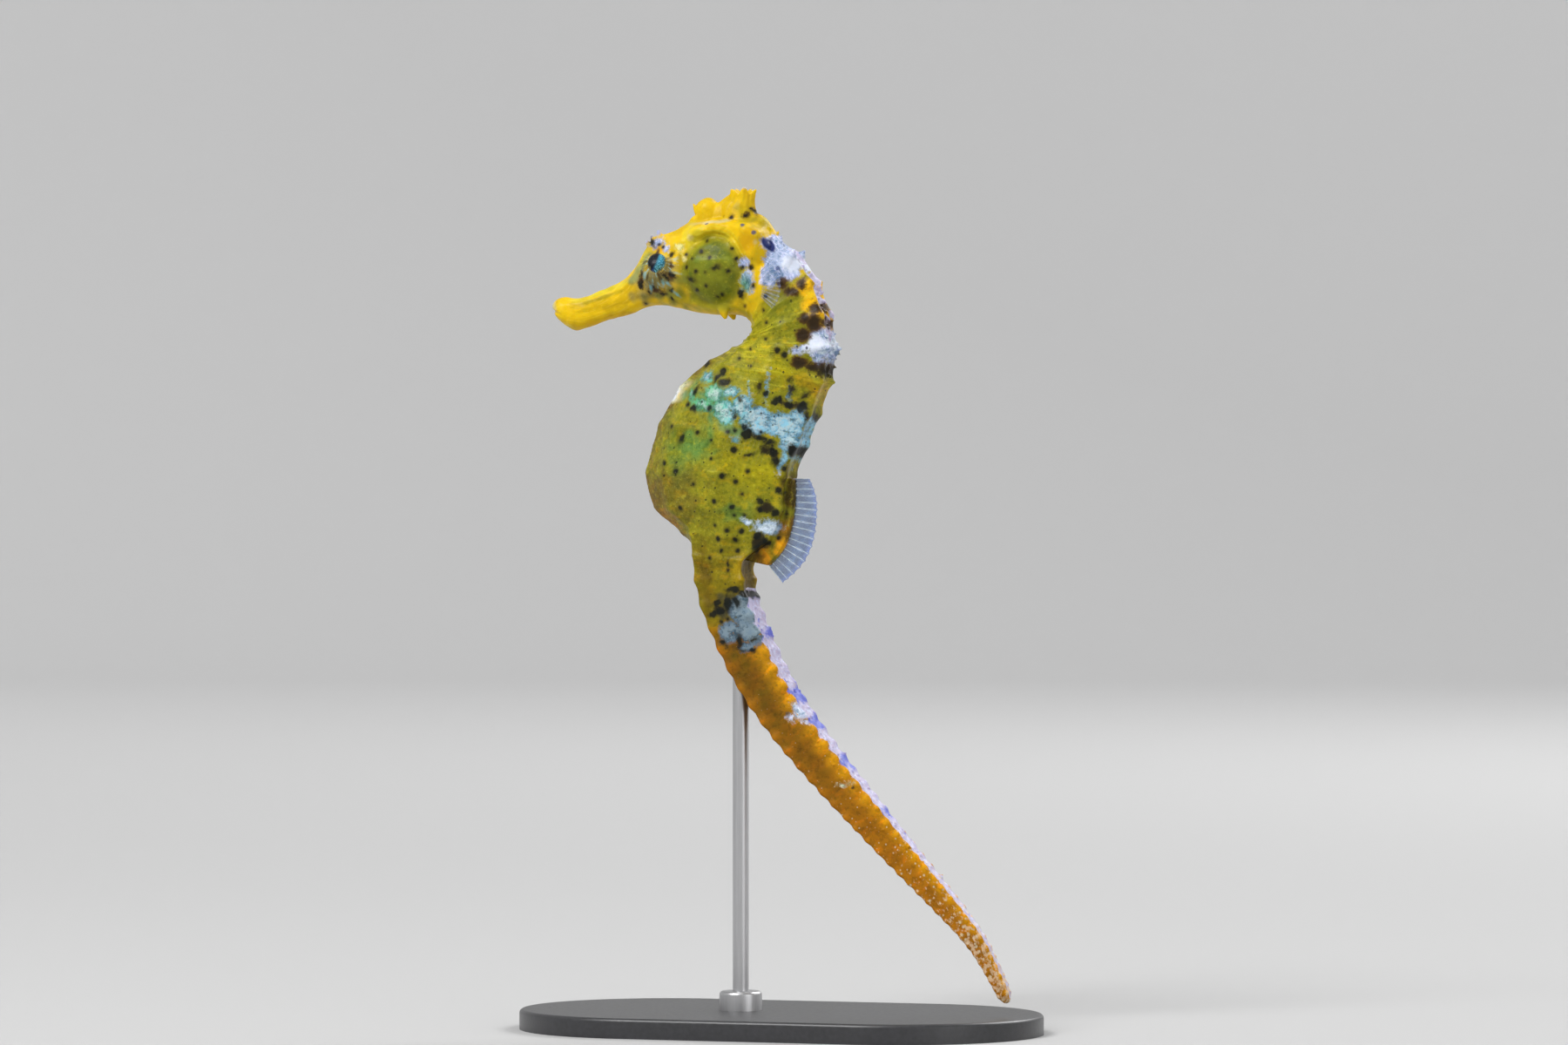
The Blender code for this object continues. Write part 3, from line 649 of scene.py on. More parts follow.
def eye_axes(side):
    """The gaze of the eye on this side, and the ways to the back and up, square to it."""
    gaze = Vector((EYE_GAZE[0], EYE_GAZE[1] * side, EYE_GAZE[2])).normalized()
    up = (Vector((0, 0, 1)) - gaze * gaze.z).normalized()
    return [np.array(way) for way in (gaze, up.cross(gaze) * -side, up)]


def on_turret(side, across, upwards, radius):
    """Points at this radius about the eye, this far across and up from the gaze along it."""
    gaze, back, up = eye_axes(side)
    arc = np.hypot(across, upwards)[..., None]
    way = across[..., None] * back + upwards[..., None] * up
    turn = arc / TURRET_RADIUS
    spot = gaze * np.cos(turn) + way / np.maximum(arc, 1e-9) * np.sin(turn)
    x, y, z = TURRET_CENTRE
    return spot * radius[..., None] + (x, y * side, z)


def add_turret(shapes, side):
    """The ball of skin round the eye, and the rim of its opening."""
    x, y, z = TURRET_CENTRE
    shapes.ball((x, y * side, z), (TURRET_RADIUS,) * 3, 64)
    angles = np.linspace(0, 2 * math.pi, EYE_RIM_STEPS, endpoint=False)
    wide, high = EYE_OPENING
    across, upwards = (wide + EYE_RIM) * np.cos(angles), (high + EYE_RIM) * np.sin(angles)
    rim = on_turret(side, across, upwards, np.full(EYE_RIM_STEPS, TURRET_RADIUS))
    shapes.tube([(tuple(point), EYE_RIM) for point in rim], closed=True)


def add_papillae(shapes, body):
    """Tiny soft points along the back of the neck and tail, from seeded places."""
    random = np.random.default_rng(7)
    columns = body.points.shape[1]
    for count, (first, last), tallest in PAPILLAE:
        stretch = np.nonzero((body.rings > first) & (body.rings < last))[0]
        for _ in range(count):
            row = random.choice(stretch)
            round_body = random.normal(0.0, 0.75)
            column = int((BACK + round_body) * STEPS_BETWEEN_RIDGES) % columns
            foot = body.points[row, column]
            away = foot - body.points[row].mean(axis=0)
            away = away / np.linalg.norm(away) + random.normal(0, 0.25, 3)
            height = random.uniform(0.35, 1.0) * tallest
            levels = ((-0.3, 0.24), (0.4 * height, 0.19), (height, 0.1))
            shapes.tube([(tuple(foot + away * rise), radius) for rise, radius in levels], sides=8)


def add_neck_spines(shapes):
    """The blunt spines on the upper ridges of the neck, pointing away from the body."""
    rows = outlines(RING_EDGES[: len(NECK_SPINES)], STEPS_BETWEEN_RIDGES)
    for row, height in zip(rows, NECK_SPINES):
        for ridge in (UPPER, RIDGES - UPPER):
            foot = row[ridge * STEPS_BETWEEN_RIDGES]
            away = foot - row.mean(axis=0)
            away /= np.linalg.norm(away)
            levels = ((-0.6, 0.85), (0.15, 0.7), (0.55 * height, 0.38), (height, 0.16))
            shapes.tube([(tuple(foot + away * rise), radius) for rise, radius in levels])


def add_fin_base(shapes):
    """The fleshy strip that the dorsal fin's rays grow from, let into the back."""
    rows = []
    for share in np.linspace(-0.02, 1.05, 40):
        outer = along(DORSAL_FIN_ROOT, [share])[0]
        end = min(share + 0.02, 1.05 - share)
        half = FIN_BASE_THICKNESS / 2 * min(1.0, 0.55 + 9 * end)
        inner = outer + FIN_BASE_INWARDS
        edge = outer + (0.25, 0.0)
        ring = [(*inner, half), (*outer, half), (*edge, half * 0.45)]
        ring += [(*edge, -half * 0.45), (*outer, -half), (*inner, -half)]
        rows.append([(px, py, pz) for px, pz, py in ring])
    shapes.rows(rows)


def add_pectoral_bases(shapes):
    """The narrow fleshy strip at the root of each pectoral fin."""
    x, y, z = PECTORAL_ROOT_TOP
    for _, side in SIDES:
        line = []
        for share in np.linspace(-0.1, 1.1, 9):
            point = (x, (y - 0.35) * side, z - PECTORAL_ROOT_HEIGHT * share)
            line.append((point, 0.55 * math.sqrt(max(0.05, 1 - (2 * share - 1) ** 2 / 1.5))))
        shapes.tube(line)


def flesh_shapes(body):
    shapes = Shapes()
    shapes.rows(body.points)
    add_coronet(shapes)
    add_neck_spines(shapes)
    add_fin_base(shapes)
    add_pectoral_bases(shapes)
    for _, side in SIDES:
        for spike in (BROW_SPIKE, CHEEK_SPIKE, *CROWN_KNOBS, *BROW_KNOBS):
            shapes.tube(mirrored(spike, side))
        add_turret(shapes, side)
    add_papillae(shapes, body)
    return shapes


# ---------------------------------------------------------------- objects and meshes


def new_object(name, mesh):
    made = bpy.data.objects.new(name, mesh)
    bpy.context.scene.collection.objects.link(made)
    return made


def applied(target):
    """The object's mesh with its modifiers applied."""
    graph = bpy.context.evaluated_depsgraph_get()
    mesh = bpy.data.meshes.new_from_object(target.evaluated_get(graph))
    target.modifiers.clear()
    target.data = mesh
    return target


def in_metres(target):
    target.data.transform(Matrix.Scale(MM, 4))
    target.data.shade_smooth()
    return target


def remeshed_skin(body):
    """One closed surface round all the flesh, in mm."""
    skin = new_object("skin", flesh_shapes(body).mesh("skin"))
    remesh = skin.modifiers.new("join", "REMESH")
    remesh.mode = "VOXEL"
    remesh.voxel_size = VOXEL
    even = skin.modifiers.new("even", "SMOOTH")
    even.iterations = SMOOTHING_ROUNDS
    even.factor = 0.5
    return applied(skin)


def vertex_values(mesh, what):
    values = np.empty(len(mesh.vertices) * 3, np.float32)
    mesh.vertices.foreach_get(what, values)
    return values.reshape(-1, 3).astype(float)


def warp(points, waves, size):
    """The points moved by smooth noise of this many waves a mm, by up to about this size."""
    moves = [noise.noise_vector(Vector(point) * waves) for point in points.tolist()]
    return points + np.array(moves) * size


class Skin:
    """The skin's points, in mm, and where each lies along and round the body.

    rings counts the rings behind the nape, and ridges the spaces between ridges from the middle of
    the back. lengths and across are in mm along and round the body, and off_body is the distance
    from the fine loft. slightly_moved and marked are the points moved by noise, which gives the
    marks uneven edges, and cloud is a slow noise about 0.
    """

    def __init__(self, mesh, body):
        self.points = vertex_values(mesh, "co")
        self.normals = vertex_values(mesh, "normal")
        self.x, self.y, self.z = self.points.T
        self.slightly_moved = warp(self.points, 1.2, 0.12)
        self.marked = warp(warp(self.points, 0.8, 0.36), 2.6, 0.16)
        self.cloud = np.array([noise.noise(Vector(point) * 0.7) for point in self.points.tolist()])
        grid = body.points
        rows, columns = grid.shape[:2]
        tree = KDTree(rows * columns)
        for i, point in enumerate(grid.reshape(-1, 3).tolist()):
            tree.insert(point, i)
        tree.balance()
        found = [tree.find(point)[1:] for point in self.points.tolist()]
        index = np.array([hit[0] for hit in found])
        self.off_body = np.array([hit[1] for hit in found])
        row, column = index // columns, index % columns
        ahead, behind = np.minimum(row + 1, rows - 1), np.maximum(row - 1, 0)
        left, right = (column - 1) % columns, (column + 1) % columns
        smooth_grid = body.smooth_points
        along_body = (smooth_grid[ahead, column] - smooth_grid[behind, column]) / 2
        round_body = (smooth_grid[row, right] - smooth_grid[row, left]) / 2
        off = self.points - grid[row, column]
        far_along = np.clip((off * along_body).sum(1) / (along_body**2).sum(1), -0.7, 0.7)
        far_round = np.clip((off * round_body).sum(1) / (round_body**2).sum(1), -0.7, 0.7)
        self.rings = np.interp(row + far_along, np.arange(rows), body.rings)
        self.lengths = np.interp(row + far_along, np.arange(rows), body.lengths)
        self.ridges = (column + far_round) / STEPS_BETWEEN_RIDGES - BACK
        pitch = np.linalg.norm(round_body, axis=1)
        self.across = body.across[row, column] + far_round * pitch


# ---------------------------------------------------------------- colours


def colour(red, green, blue):
    """The linear colour of an 8-bit one."""
    return tuple(
        c / 12.92 if c <= 0.04045 else ((c + 0.055) / 1.055) ** 2.4
        for c in (red / 255, green / 255, blue / 255)
    )


YELLOW = colour(228, 188, 4)
LEMON = colour(218, 206, 50)
GOLD = colour(168, 140, 8)
LIME = colour(168, 158, 12)
OLIVE = colour(128, 132, 26)
MOSS = colour(108, 116, 22)
GILL_GREEN = colour(92, 106, 26)
GILL_BAND = colour(126, 146, 50)
LEAF_GREEN = colour(88, 138, 66)
ORANGE = colour(240, 170, 4)
AMBER = colour(244, 186, 4)
TAIL_ORANGE = colour(190, 120, 3)
TAIL_BROWN_AND_SHADE = colour(108, 74, 3)
TAIL_OLIVE = colour(104, 80, 4)
ROOT_OLIVE = colour(128, 110, 2)
FIN_BROWN = colour(134, 86, 8)
UNDER_FIN_SHADE = colour(70, 50, 12)
KEEL_BROWN = colour(112, 88, 28)
DRAB = colour(120, 104, 32)
CREAM = colour(222, 216, 184)
BROW_HIGHLIGHT_YELLOW = colour(240, 222, 130)
TIP_CREAM = colour(216, 186, 150)
LILAC_REFLECTION = colour(182, 172, 200)
BLUE_LIT_SHADE = colour(70, 88, 196)
WHITE = colour(206, 212, 240)
NAPE_WHITE = colour(156, 170, 214)
PAD_WHITE = colour(216, 222, 236)
MIST_BLUE = colour(92, 150, 184)
ICE_BLUE = colour(78, 146, 164)
SADDLE_GREY = colour(76, 100, 122)
TEAL = colour(64, 142, 108)
CYAN = colour(90, 195, 222)
BROWN = colour(76, 48, 16)
SLATE = colour(44, 48, 46)
TRUNK_BROWN = colour(46, 40, 18)
TAN = colour(140, 128, 78)
PALE_OLIVE = colour(142, 152, 92)
DARK_BROWN = colour(30, 22, 14)
INK = colour(16, 20, 16)
HOLLOW_SHADE_BLUE = colour(10, 28, 96)
SPOT_BLUE = colour(58, 70, 112)
SNOUT_STREAK = colour(244, 222, 90)
GLINT = colour(196, 196, 104)
SADDLE_CORE = colour(204, 220, 216)
PALE_DASH = colour(150, 200, 200)
DARK_DASH = colour(60, 46, 24)

# Washes of colour on the skin: colour, (x, z), reach, tilt, strength.
WASHES = (
    # Lemon along the top of the snout is a painted highlight.
    (LEMON, (-28.0, 110.6), (7.0, 0.7), 17.0, 0.6),  # the snout
    (MOSS, (-27.5, 109.7), (4.6, 0.35), 17.0, 0.5),
    # Orange along the underside of the snout is painted shade.
    (TAIL_ORANGE, (-27.0, 106.4), (6.5, 0.6), 15.0, 0.35),
    (MOSS, (-33.4, 105.2), (1.2, 0.5), 0.0, 0.4),
    (CREAM, (-35.7, 108.6), (0.7, 1.3), 10.0, 0.8),
    (LEMON, (-20.6, 115.4), (0.9, 2.2), -35.0, 0.6),  # the face
    (LEMON, (-13.0, 118.4), (2.4, 2.2), 40.0, 0.5),
    (TAN, (-18.6, 112.6), (4.5, 4.2), 0.0, 1.0),
    (PALE_OLIVE, (-21.6, 113.6), (0.8, 2.4), -32.0, 0.8),
    (PALE_OLIVE, (-20.4, 114.8), (1.2, 1.6), -10.0, 0.8),
    (TAN, (-16.2, 114.0), (0.9, 1.7), 0.0, 0.9),
    # The next two are painted highlights beside the brow, in cream.
    (CREAM, (-13.6, 115.2), (0.5, 0.6), 0.0, 0.7),
    (CREAM, (-12.9, 118.5), (0.5, 0.6), 0.0, 0.3),
    (ORANGE, (-17.8, 116.6), (1.1, 0.5), -12.0, 0.9),
    (OLIVE, (-15.0, 109.6), (4.5, 1.5), 0.0, 0.6),
    (OLIVE, (-9.6, 112.2), (6.4, 5.4), 0.0, 0.55),
    (MOSS, (-13.6, 112.4), (1.8, 3.6), 0.0, 0.5),
    (GOLD, (-14.6, 114.6), (0.7, 1.8), 0.0, 0.6),
    # A painted highlight along the top of the shelf over the gill cover.
    (CREAM, (-9.8, 120.75), (2.9, 0.3), 4.0, 0.7),
    # Olive here is painted shade at the back of the crown's base.
    (OLIVE, (-4.9, 121.7), (1.2, 2.6), 25.0, 0.45),
    (MOSS, (-2.2, 120.6), (1.4, 1.2), 0.0, 0.5),
    (AMBER, (-3.6, 117.8), (1.7, 2.0), 0.0, 0.7),
    (CREAM, (-2.4, 117.6), (0.4, 0.6), 0.0, 0.5),
    (LEMON, (-8.4, 108.0), (4.0, 0.6), 0.0, 0.3),
    (LIME, (-3.4, 105.2), (2.8, 3.4), 0.0, 0.6),  # the neck
    (MOSS, (1.0, 107.6), (2.6, 3.4), 0.0, 0.4),
    (LEMON, (-2.6, 101.6), (4.2, 1.3), 20.0, 0.35),
    (AMBER, (5.5, 110.0), (2.3, 3.0), 30.0, 1.0),
    (AMBER, (7.4, 106.4), (1.6, 2.0), 0.0, 1.0),
    (LIME, (0.6, 98.6), (5.0, 1.9), -12.0, 0.9),  # the trunk
    (GOLD, (4.6, 97.4), (2.4, 1.6), -12.0, 0.8),
    (GOLD, (6.5, 95.2), (1.4, 2.6), 0.0, 0.9),
    (TEAL, (-9.6, 94.2), (4.6, 2.4), -12.0, 0.65),
    (LEAF_GREEN, (-11.8, 87.6), (3.6, 2.9), 10.0, 0.8),
    (LEAF_GREEN, (-15.0, 84.4), (2.2, 3.6), 10.0, 0.6),
    (TEAL, (-6.2, 90.0), (2.6, 1.1), -30.0, 0.5),
    (LIME, (-5.6, 85.2), (2.8, 1.6), 30.0, 0.7),
    (LIME, (-1.6, 83.0), (4.2, 2.2), 0.0, 1.0),
    (DRAB, (-15.4, 80.2), (4.8, 5.0), 0.0, 0.7),
    (MOSS, (-16.4, 88.6), (2.4, 5.0), 15.0, 0.5),
    (LEAF_GREEN, (-5.2, 77.2), (2.6, 1.5), 0.0, 0.6),
    (KEEL_BROWN, (-18.9, 79.6), (2.2, 4.4), -25.0, 0.7),
    (TAIL_ORANGE, (-17.4, 76.6), (2.6, 1.2), -30.0, 0.45),
    # A painted highlight along the keel by the chest.
    (CREAM, (-16.4, 95.0), (2.0, 0.7), 48.0, 0.95),
    # Painted shade under the dorsal fin.
    (UNDER_FIN_SHADE, (2.2, 80.6), (1.3, 3.8), 0.0, 0.9),
    (FIN_BROWN, (1.2, 74.6), (1.7, 3.4), -25.0, 0.8),
    (ORANGE, (0.6, 72.2), (1.5, 1.6), -25.0, 0.7),
    (ORANGE, (-2.2, 69.6), (1.4, 2.8), -10.0, 0.8),
    (TAIL_OLIVE, (-11.0, 68.0), (1.3, 6.0), 10.0, 0.7),  # the root of the tail
    (GOLD, (-5.0, 68.6), (1.3, 2.8), 0.0, 0.9),
    (SLATE, (-7.6, 63.2), (2.2, 2.2), 20.0, 0.8),
)

# Marks on the sides, as ellipses: x, z, the two half axes, tilt. The pale saddles come first.
PALE_MARKS = (
    # over the eye; the last two, tinted pale yellow, are painted highlights beside the brow
    (-18.5, 117.8, 1.2, 0.75, 25.0), (-16.8, 116.9, 0.5, 0.75, 20.0), (-14.6, 117.0, 1.0, 0.8, 5.0),
    (-13.7, 115.3, 0.35, 0.4, 0.0),
    # the nape
    (1.5, 114.8, 3.1, 3.2, 20.0), (-0.7, 112.6, 1.5, 1.9, 0.0), (-0.2, 117.6, 1.6, 1.5, 0.0),
    (-3.9, 111.8, 1.0, 1.9, 0.0), (-4.3, 114.6, 0.8, 0.9, 0.0), (-4.8, 110.5, 0.55, 0.3, 40.0),
    # the neck
    (7.2, 102.4, 2.0, 2.6, 0.0), (4.6, 101.6, 1.9, 0.75, 10.0), (7.0, 99.9, 0.9, 1.2, 20.0),
    # the trunk
    # The first of these is a painted highlight along the keel by the chest.
    (-16.5, 95.1, 2.0, 0.7, 48.0), (-10.5, 97.6, 1.2, 1.0, 40.0), (-12.8, 94.9, 0.7, 1.1, 0.0),
    (-10.6, 93.4, 2.4, 1.0, -12.0), (-8.9, 95.2, 1.8, 1.3, -10.0), (-7.0, 92.4, 2.3, 1.7, -35.0),
    (-6.1, 95.3, 1.6, 0.9, 0.0), (-4.2, 93.2, 1.8, 1.7, 20.0), (-2.2, 91.1, 2.7, 2.2, -25.0),
    (1.8, 90.2, 2.9, 2.1, -20.0), (3.9, 91.3, 1.4, 1.7, -20.0), (-0.5, 96.2, 0.3, 1.9, -8.0),
    (2.7, 95.0, 0.3, 1.2, 0.0), (-3.0, 95.2, 0.3, 1.2, 10.0), (2.6, 87.9, 1.6, 1.6, 0.0),
    (1.5, 85.2, 0.5, 2.0, -20.0), (2.7, 85.2, 0.35, 1.3, 15.0), (-5.1, 88.3, 0.7, 0.45, 0.0),
    # the lower back
    (-1.2, 75.2, 2.2, 1.2, 0.0), (-4.0, 76.0, 1.0, 0.5, -20.0),
    # the root of the tail
    (-5.0, 63.0, 2.4, 2.3, 20.0), (-3.6, 60.2, 2.6, 3.0, 20.0), (-6.9, 59.6, 2.0, 1.8, 0.0),
    (-4.4, 57.4, 1.2, 1.0, 0.0),
    # down the tail
    (4.0, 47.9, 1.7, 1.1, -40.0), (2.7, 46.8, 0.9, 0.6, 0.0), (4.7, 46.4, 1.0, 0.5, -40.0),
    (10.8, 37.0, 1.2, 0.4, 5.0),
)
WHITE_PADS = (
    (2.7, 114.3, 1.9, 1.4, -20.0), (6.4, 102.4, 2.0, 1.5, 0.0), (5.4, 101.5, 1.6, 0.7, 10.0),
    # The last pad is a painted highlight along the keel by the chest.
    (-16.5, 95.1, 1.9, 0.7, 48.0),
)
BROWN_MARKS = (
    (1.4, 111.4, 1.1, 1.0, 0.0), (2.7, 110.3, 1.6, 1.0, -20.0), (4.2, 111.3, 1.0, 1.2, 0.0),
    (6.4, 107.7, 1.1, 1.0, 0.0), (4.8, 106.2, 1.2, 1.2, 0.0), (6.2, 105.6, 1.4, 1.9, 0.0),
    (4.7, 103.8, 1.5, 1.4, 0.0), (7.7, 105.5, 1.4, 0.8, 0.0), (4.2, 99.6, 1.5, 1.2, 0.0),
    (5.9, 99.0, 1.4, 1.1, 0.0), (7.4, 98.5, 1.1, 1.4, 0.0), (-1.6, 96.2, 0.6, 1.3, -22.0),
    (2.9, 97.1, 0.6, 0.6, 0.0), (2.9, 95.6, 0.7, 1.2, 0.0), (5.0, 94.8, 1.5, 0.6, 30.0),
    (3.2, 93.4, 2.6, 0.8, -8.0), (5.2, 91.7, 0.6, 1.4, 0.0), (-5.2, 91.8, 0.5, 1.0, -35.0),
    (-4.5, 94.2, 0.5, 0.6, 0.0), (-2.6, 88.9, 2.0, 0.6, -22.0), (0.1, 86.4, 0.6, 1.8, 15.0),
    (-1.0, 86.6, 1.0, 0.9, 0.0), (3.1, 86.4, 1.0, 1.4, 0.0), (-1.1, 78.2, 1.2, 1.2, 0.0),
    (1.4, 77.2, 0.5, 1.0, 0.0), (-2.5, 73.1, 1.3, 1.3, 0.0), (1.0, 80.3, 0.5, 0.4, 0.0),
    (-8.8, 62.8, 0.9, 0.9, 20.0), (-5.0, 65.4, 2.0, 0.6, -12.0), (-7.9, 57.6, 1.0, 0.4, -20.0),
    (-3.2, 58.4, 1.0, 0.5, -10.0), (-5.0, 56.9, 2.2, 0.35, -12.0),
    # round the eye
    (-18.3, 116.3, 0.5, 0.75, 0.0), (-15.8, 114.3, 0.6, 0.8, 0.0), (-15.9, 112.7, 1.1, 0.6, -30.0),
    (-20.8, 112.0, 0.65, 1.1, 0.0), (-18.6, 110.6, 1.4, 0.55, -10.0),
    # the crown
    (-7.0, 121.5, 0.5, 0.45, 0.0), (-4.8, 121.9, 0.5, 0.45, 0.0),
)
BLACK_MARKS = (
    # the upper trunk
    (-7.9, 98.4, 0.55, 0.65, 0.0), (-8.7, 97.4, 0.8, 0.36, 50.0), (-7.3, 96.8, 1.1, 0.48, 12.0),
    (-11.2, 99.7, 0.6, 0.35, 0.0), (-12.1, 95.5, 0.8, 0.34, 60.0), (-12.3, 92.8, 0.55, 0.45, 0.0),
    (0.9, 94.0, 0.75, 0.6, 0.0), (2.6, 93.5, 0.6, 0.55, 0.0), (4.6, 93.0, 0.75, 0.85, 0.0),
    (-3.8, 90.1, 0.55, 0.45, 0.0), (-3.6, 89.0, 0.6, 0.8, 0.0), (-1.4, 88.3, 0.95, 0.4, -15.0),
    (-0.3, 87.8, 0.7, 0.4, 0.0), (0.2, 86.3, 0.7, 0.8, 0.0), (0.3, 84.9, 0.5, 0.8, 0.0),
    (3.1, 86.5, 0.7, 0.65, 0.0), (-14.2, 88.5, 0.75, 0.45, 62.0), (-3.4, 86.0, 0.65, 0.25, 30.0),
    # the lower trunk
    (-2.0, 79.2, 0.42, 0.42, 0.0), (-2.0, 77.8, 0.5, 0.6, 0.0), (0.1, 77.3, 0.6, 0.6, 0.0),
    (-2.8, 73.9, 0.6, 0.6, 0.0), (-1.6, 73.0, 0.6, 0.55, 0.0), (-2.8, 72.2, 0.95, 0.4, 50.0),
    (-7.2, 69.8, 0.28, 0.5, 0.0), (-7.3, 68.8, 0.3, 0.3, 0.0),
    # the root of the tail
    (-6.4, 65.9, 1.05, 0.45, 10.0), (-4.5, 65.2, 0.9, 0.45, -10.0), (-7.3, 63.8, 0.55, 1.35, -5.0),
    (-6.0, 64.2, 0.5, 0.9, 20.0), (-8.9, 63.9, 0.7, 0.5, 30.0), (-9.7, 62.2, 0.85, 0.5, 0.0),
    (-8.5, 62.6, 0.6, 0.6, 0.0), (-8.3, 58.2, 0.42, 0.4, 0.0), (-5.6, 58.2, 0.42, 0.95, 10.0),
    (-3.5, 56.8, 0.45, 0.35, 0.0),
    # the gill cover
    (-12.3, 112.2, 0.6, 0.26, -14.0), (-8.3, 113.9, 0.48, 0.26, 3.0), (-5.2, 110.1, 0.5, 0.55, 0.0),
    (-16.3, 109.3, 0.45, 0.24, -35.0), (-3.8, 122.3, 0.65, 0.4, -40.0),
    # round the eye
    (-20.7, 113.2, 0.5, 0.25, 57.0), (-20.9, 111.6, 0.5, 0.35, -60.0),
    (-19.8, 110.4, 0.45, 0.26, -40.0), (-18.7, 111.2, 0.42, 0.24, -65.0),
    (-17.6, 110.1, 0.38, 0.26, -20.0), (-16.2, 110.8, 0.36, 0.26, 20.0),
    (-16.7, 112.6, 0.7, 0.27, -40.0), (-15.6, 112.9, 0.55, 0.27, -25.0),
    (-15.9, 115.8, 0.35, 0.28, 30.0), (-19.3, 117.8, 0.75, 0.33, -61.0),
    (-18.1, 117.4, 0.33, 0.22, 0.0),
)
# Round spots: x, z, radius.
SPOTS = (
    (-11.4, 113.3, 0.27), (-11.6, 110.6, 0.3), (-10.0, 111.2, 0.26), (-7.8, 109.9, 0.22),
    (-6.5, 113.4, 0.28), (-4.7, 113.8, 0.3), (-5.4, 115.2, 0.26), (-6.1, 116.7, 0.24),
    (-9.3, 115.3, 0.27), (-10.7, 116.3, 0.32), (-10.1, 117.9, 0.2), (-6.9, 121.5, 0.3),
    (-4.8, 121.7, 0.32), (-13.2, 114.0, 0.26), (-13.3, 115.9, 0.2), (-20.8, 108.7, 0.2),
    (-17.4, 117.1, 0.24), (-12.1, 115.2, 0.18), (-8.5, 109.6, 0.16), (-9.9, 113.2, 0.14),
    (-3.3, 113.9, 0.4), (-3.0, 111.2, 0.3), (-1.1, 109.6, 0.3), (-4.8, 108.2, 0.22),
    (1.0, 101.5, 0.45), (2.0, 100.8, 0.48), (-1.1, 103.2, 0.25), (-3.5, 101.8, 0.24),
    (-5.3, 100.4, 0.27), (-0.7, 95.1, 0.42), (-13.4, 93.5, 0.35), (-9.6, 93.0, 0.42),
    (-6.2, 89.4, 0.36), (-5.2, 89.6, 0.3), (-5.5, 86.7, 0.5), (1.6, 83.9, 0.38),
    (-11.4, 89.3, 0.32), (-16.0, 90.3, 0.3), (-15.0, 83.6, 0.42), (-17.1, 84.8, 0.35),
    (-7.3, 82.8, 0.46), (-5.4, 82.0, 0.38), (-3.6, 83.5, 0.34), (0.6, 80.7, 0.46),
    (-8.7, 79.0, 0.38), (-6.1, 78.2, 0.4), (-14.5, 78.1, 0.35), (-7.0, 74.7, 0.38),
    (-5.0, 74.6, 0.38), (-5.9, 73.3, 0.38), (-8.5, 73.5, 0.36), (0.2, 73.6, 0.35),
    (-8.2, 71.7, 0.28), (-5.7, 71.7, 0.34), (-10.1, 70.6, 0.28), (-7.3, 61.5, 0.3),
    (-8.4, 61.1, 0.34), (-9.0, 85.4, 0.24), (-12.1, 81.6, 0.26), (-4.6, 80.1, 0.24),
    (-4.4, 77.0, 0.22), (-5.9, 77.0, 0.22), (-8.9, 75.5, 0.24), (-9.1, 88.2, 0.16),
    (-1.6, 107.5, 0.22), (-1.1, 105.7, 0.24), (-3.2, 99.1, 0.2), (-1.5, 89.3, 0.24),
)
TAIL_SPOTS = (
    (-1.9, 52.2, 0.3), (0.2, 51.7, 0.32), (2.0, 47.4, 0.5), (-3.7, 53.2, 0.25), (12.1, 36.6, 0.5),
    (1.4, 48.6, 0.3),
)
# Patches of painted shade, lit blue, on the pale strip along the back of the tail.
BLUE_LIT_SHADE_MARKS = (
    (-3.4, 65.2, 1.6, 0.35, -80.0), (-2.1, 59.5, 1.1, 0.6, -65.0), (2.8, 50.3, 1.6, 0.9, -55.0),
    (5.6, 46.2, 1.4, 0.9, -50.0), (10.4, 40.4, 1.6, 0.7, -48.0), (16.4, 32.8, 1.0, 0.4, -48.0),
)
BLUE_SPOTS = (
    (-10.2, 120.6, 0.34), (-4.4, 120.3, 0.42), (-2.6, 119.0, 0.34), (0.6, 113.7, 0.4),
)
CYAN_MARKS = (
    (-19.4, 111.1, 0.15, 0.5, 0.0), (-17.2, 111.6, 0.18, 0.45, -10.0),
    (-16.4, 111.6, 0.4, 0.15, -45.0), (-15.0, 113.2, 0.6, 0.14, -15.0),
    (-15.4, 110.1, 0.5, 0.14, -40.0),
)
# Painted shade, in dark blue, in the hollow of the gill opening.
GILL_HOLLOW_SHADE = (-0.9, 117.2, 1.3, 0.55, -51.0)


def facing_back(skin):
    """0 where the skin faces sideways, and 0.5 where it faces any other way."""
    return 0.5 * (1 - ease(0.15, 0.5, np.abs(skin.normals[:, 1])))


def inside(points, marks):
    """How far inside the nearest of these ellipses each point lies, in mm; negative outside."""
    best = np.full(len(points), -9.0)
    for x, z, wide, high, tilt in marks:
        out = side_reach(points, (x, z), (wide, high), tilt)
        best = np.maximum(best, (1 - out) * min(wide, high))
    return best


def in_spots(skin, spots):
    """The same for round spots, which fade where the skin doesn't face sideways."""
    marks = [(x, z, radius, radius, 0.0) for x, z, radius in spots]
    return inside(skin.slightly_moved, marks) - facing_back(skin)


def towards(tint, *layers):
    """The tint with each (colour, weight) layer laid over it in turn."""
    for shade, weight in layers:
        tint = tint + (np.array(shade) - tint) * np.clip(weight, 0, 1)[:, None]
    return tint


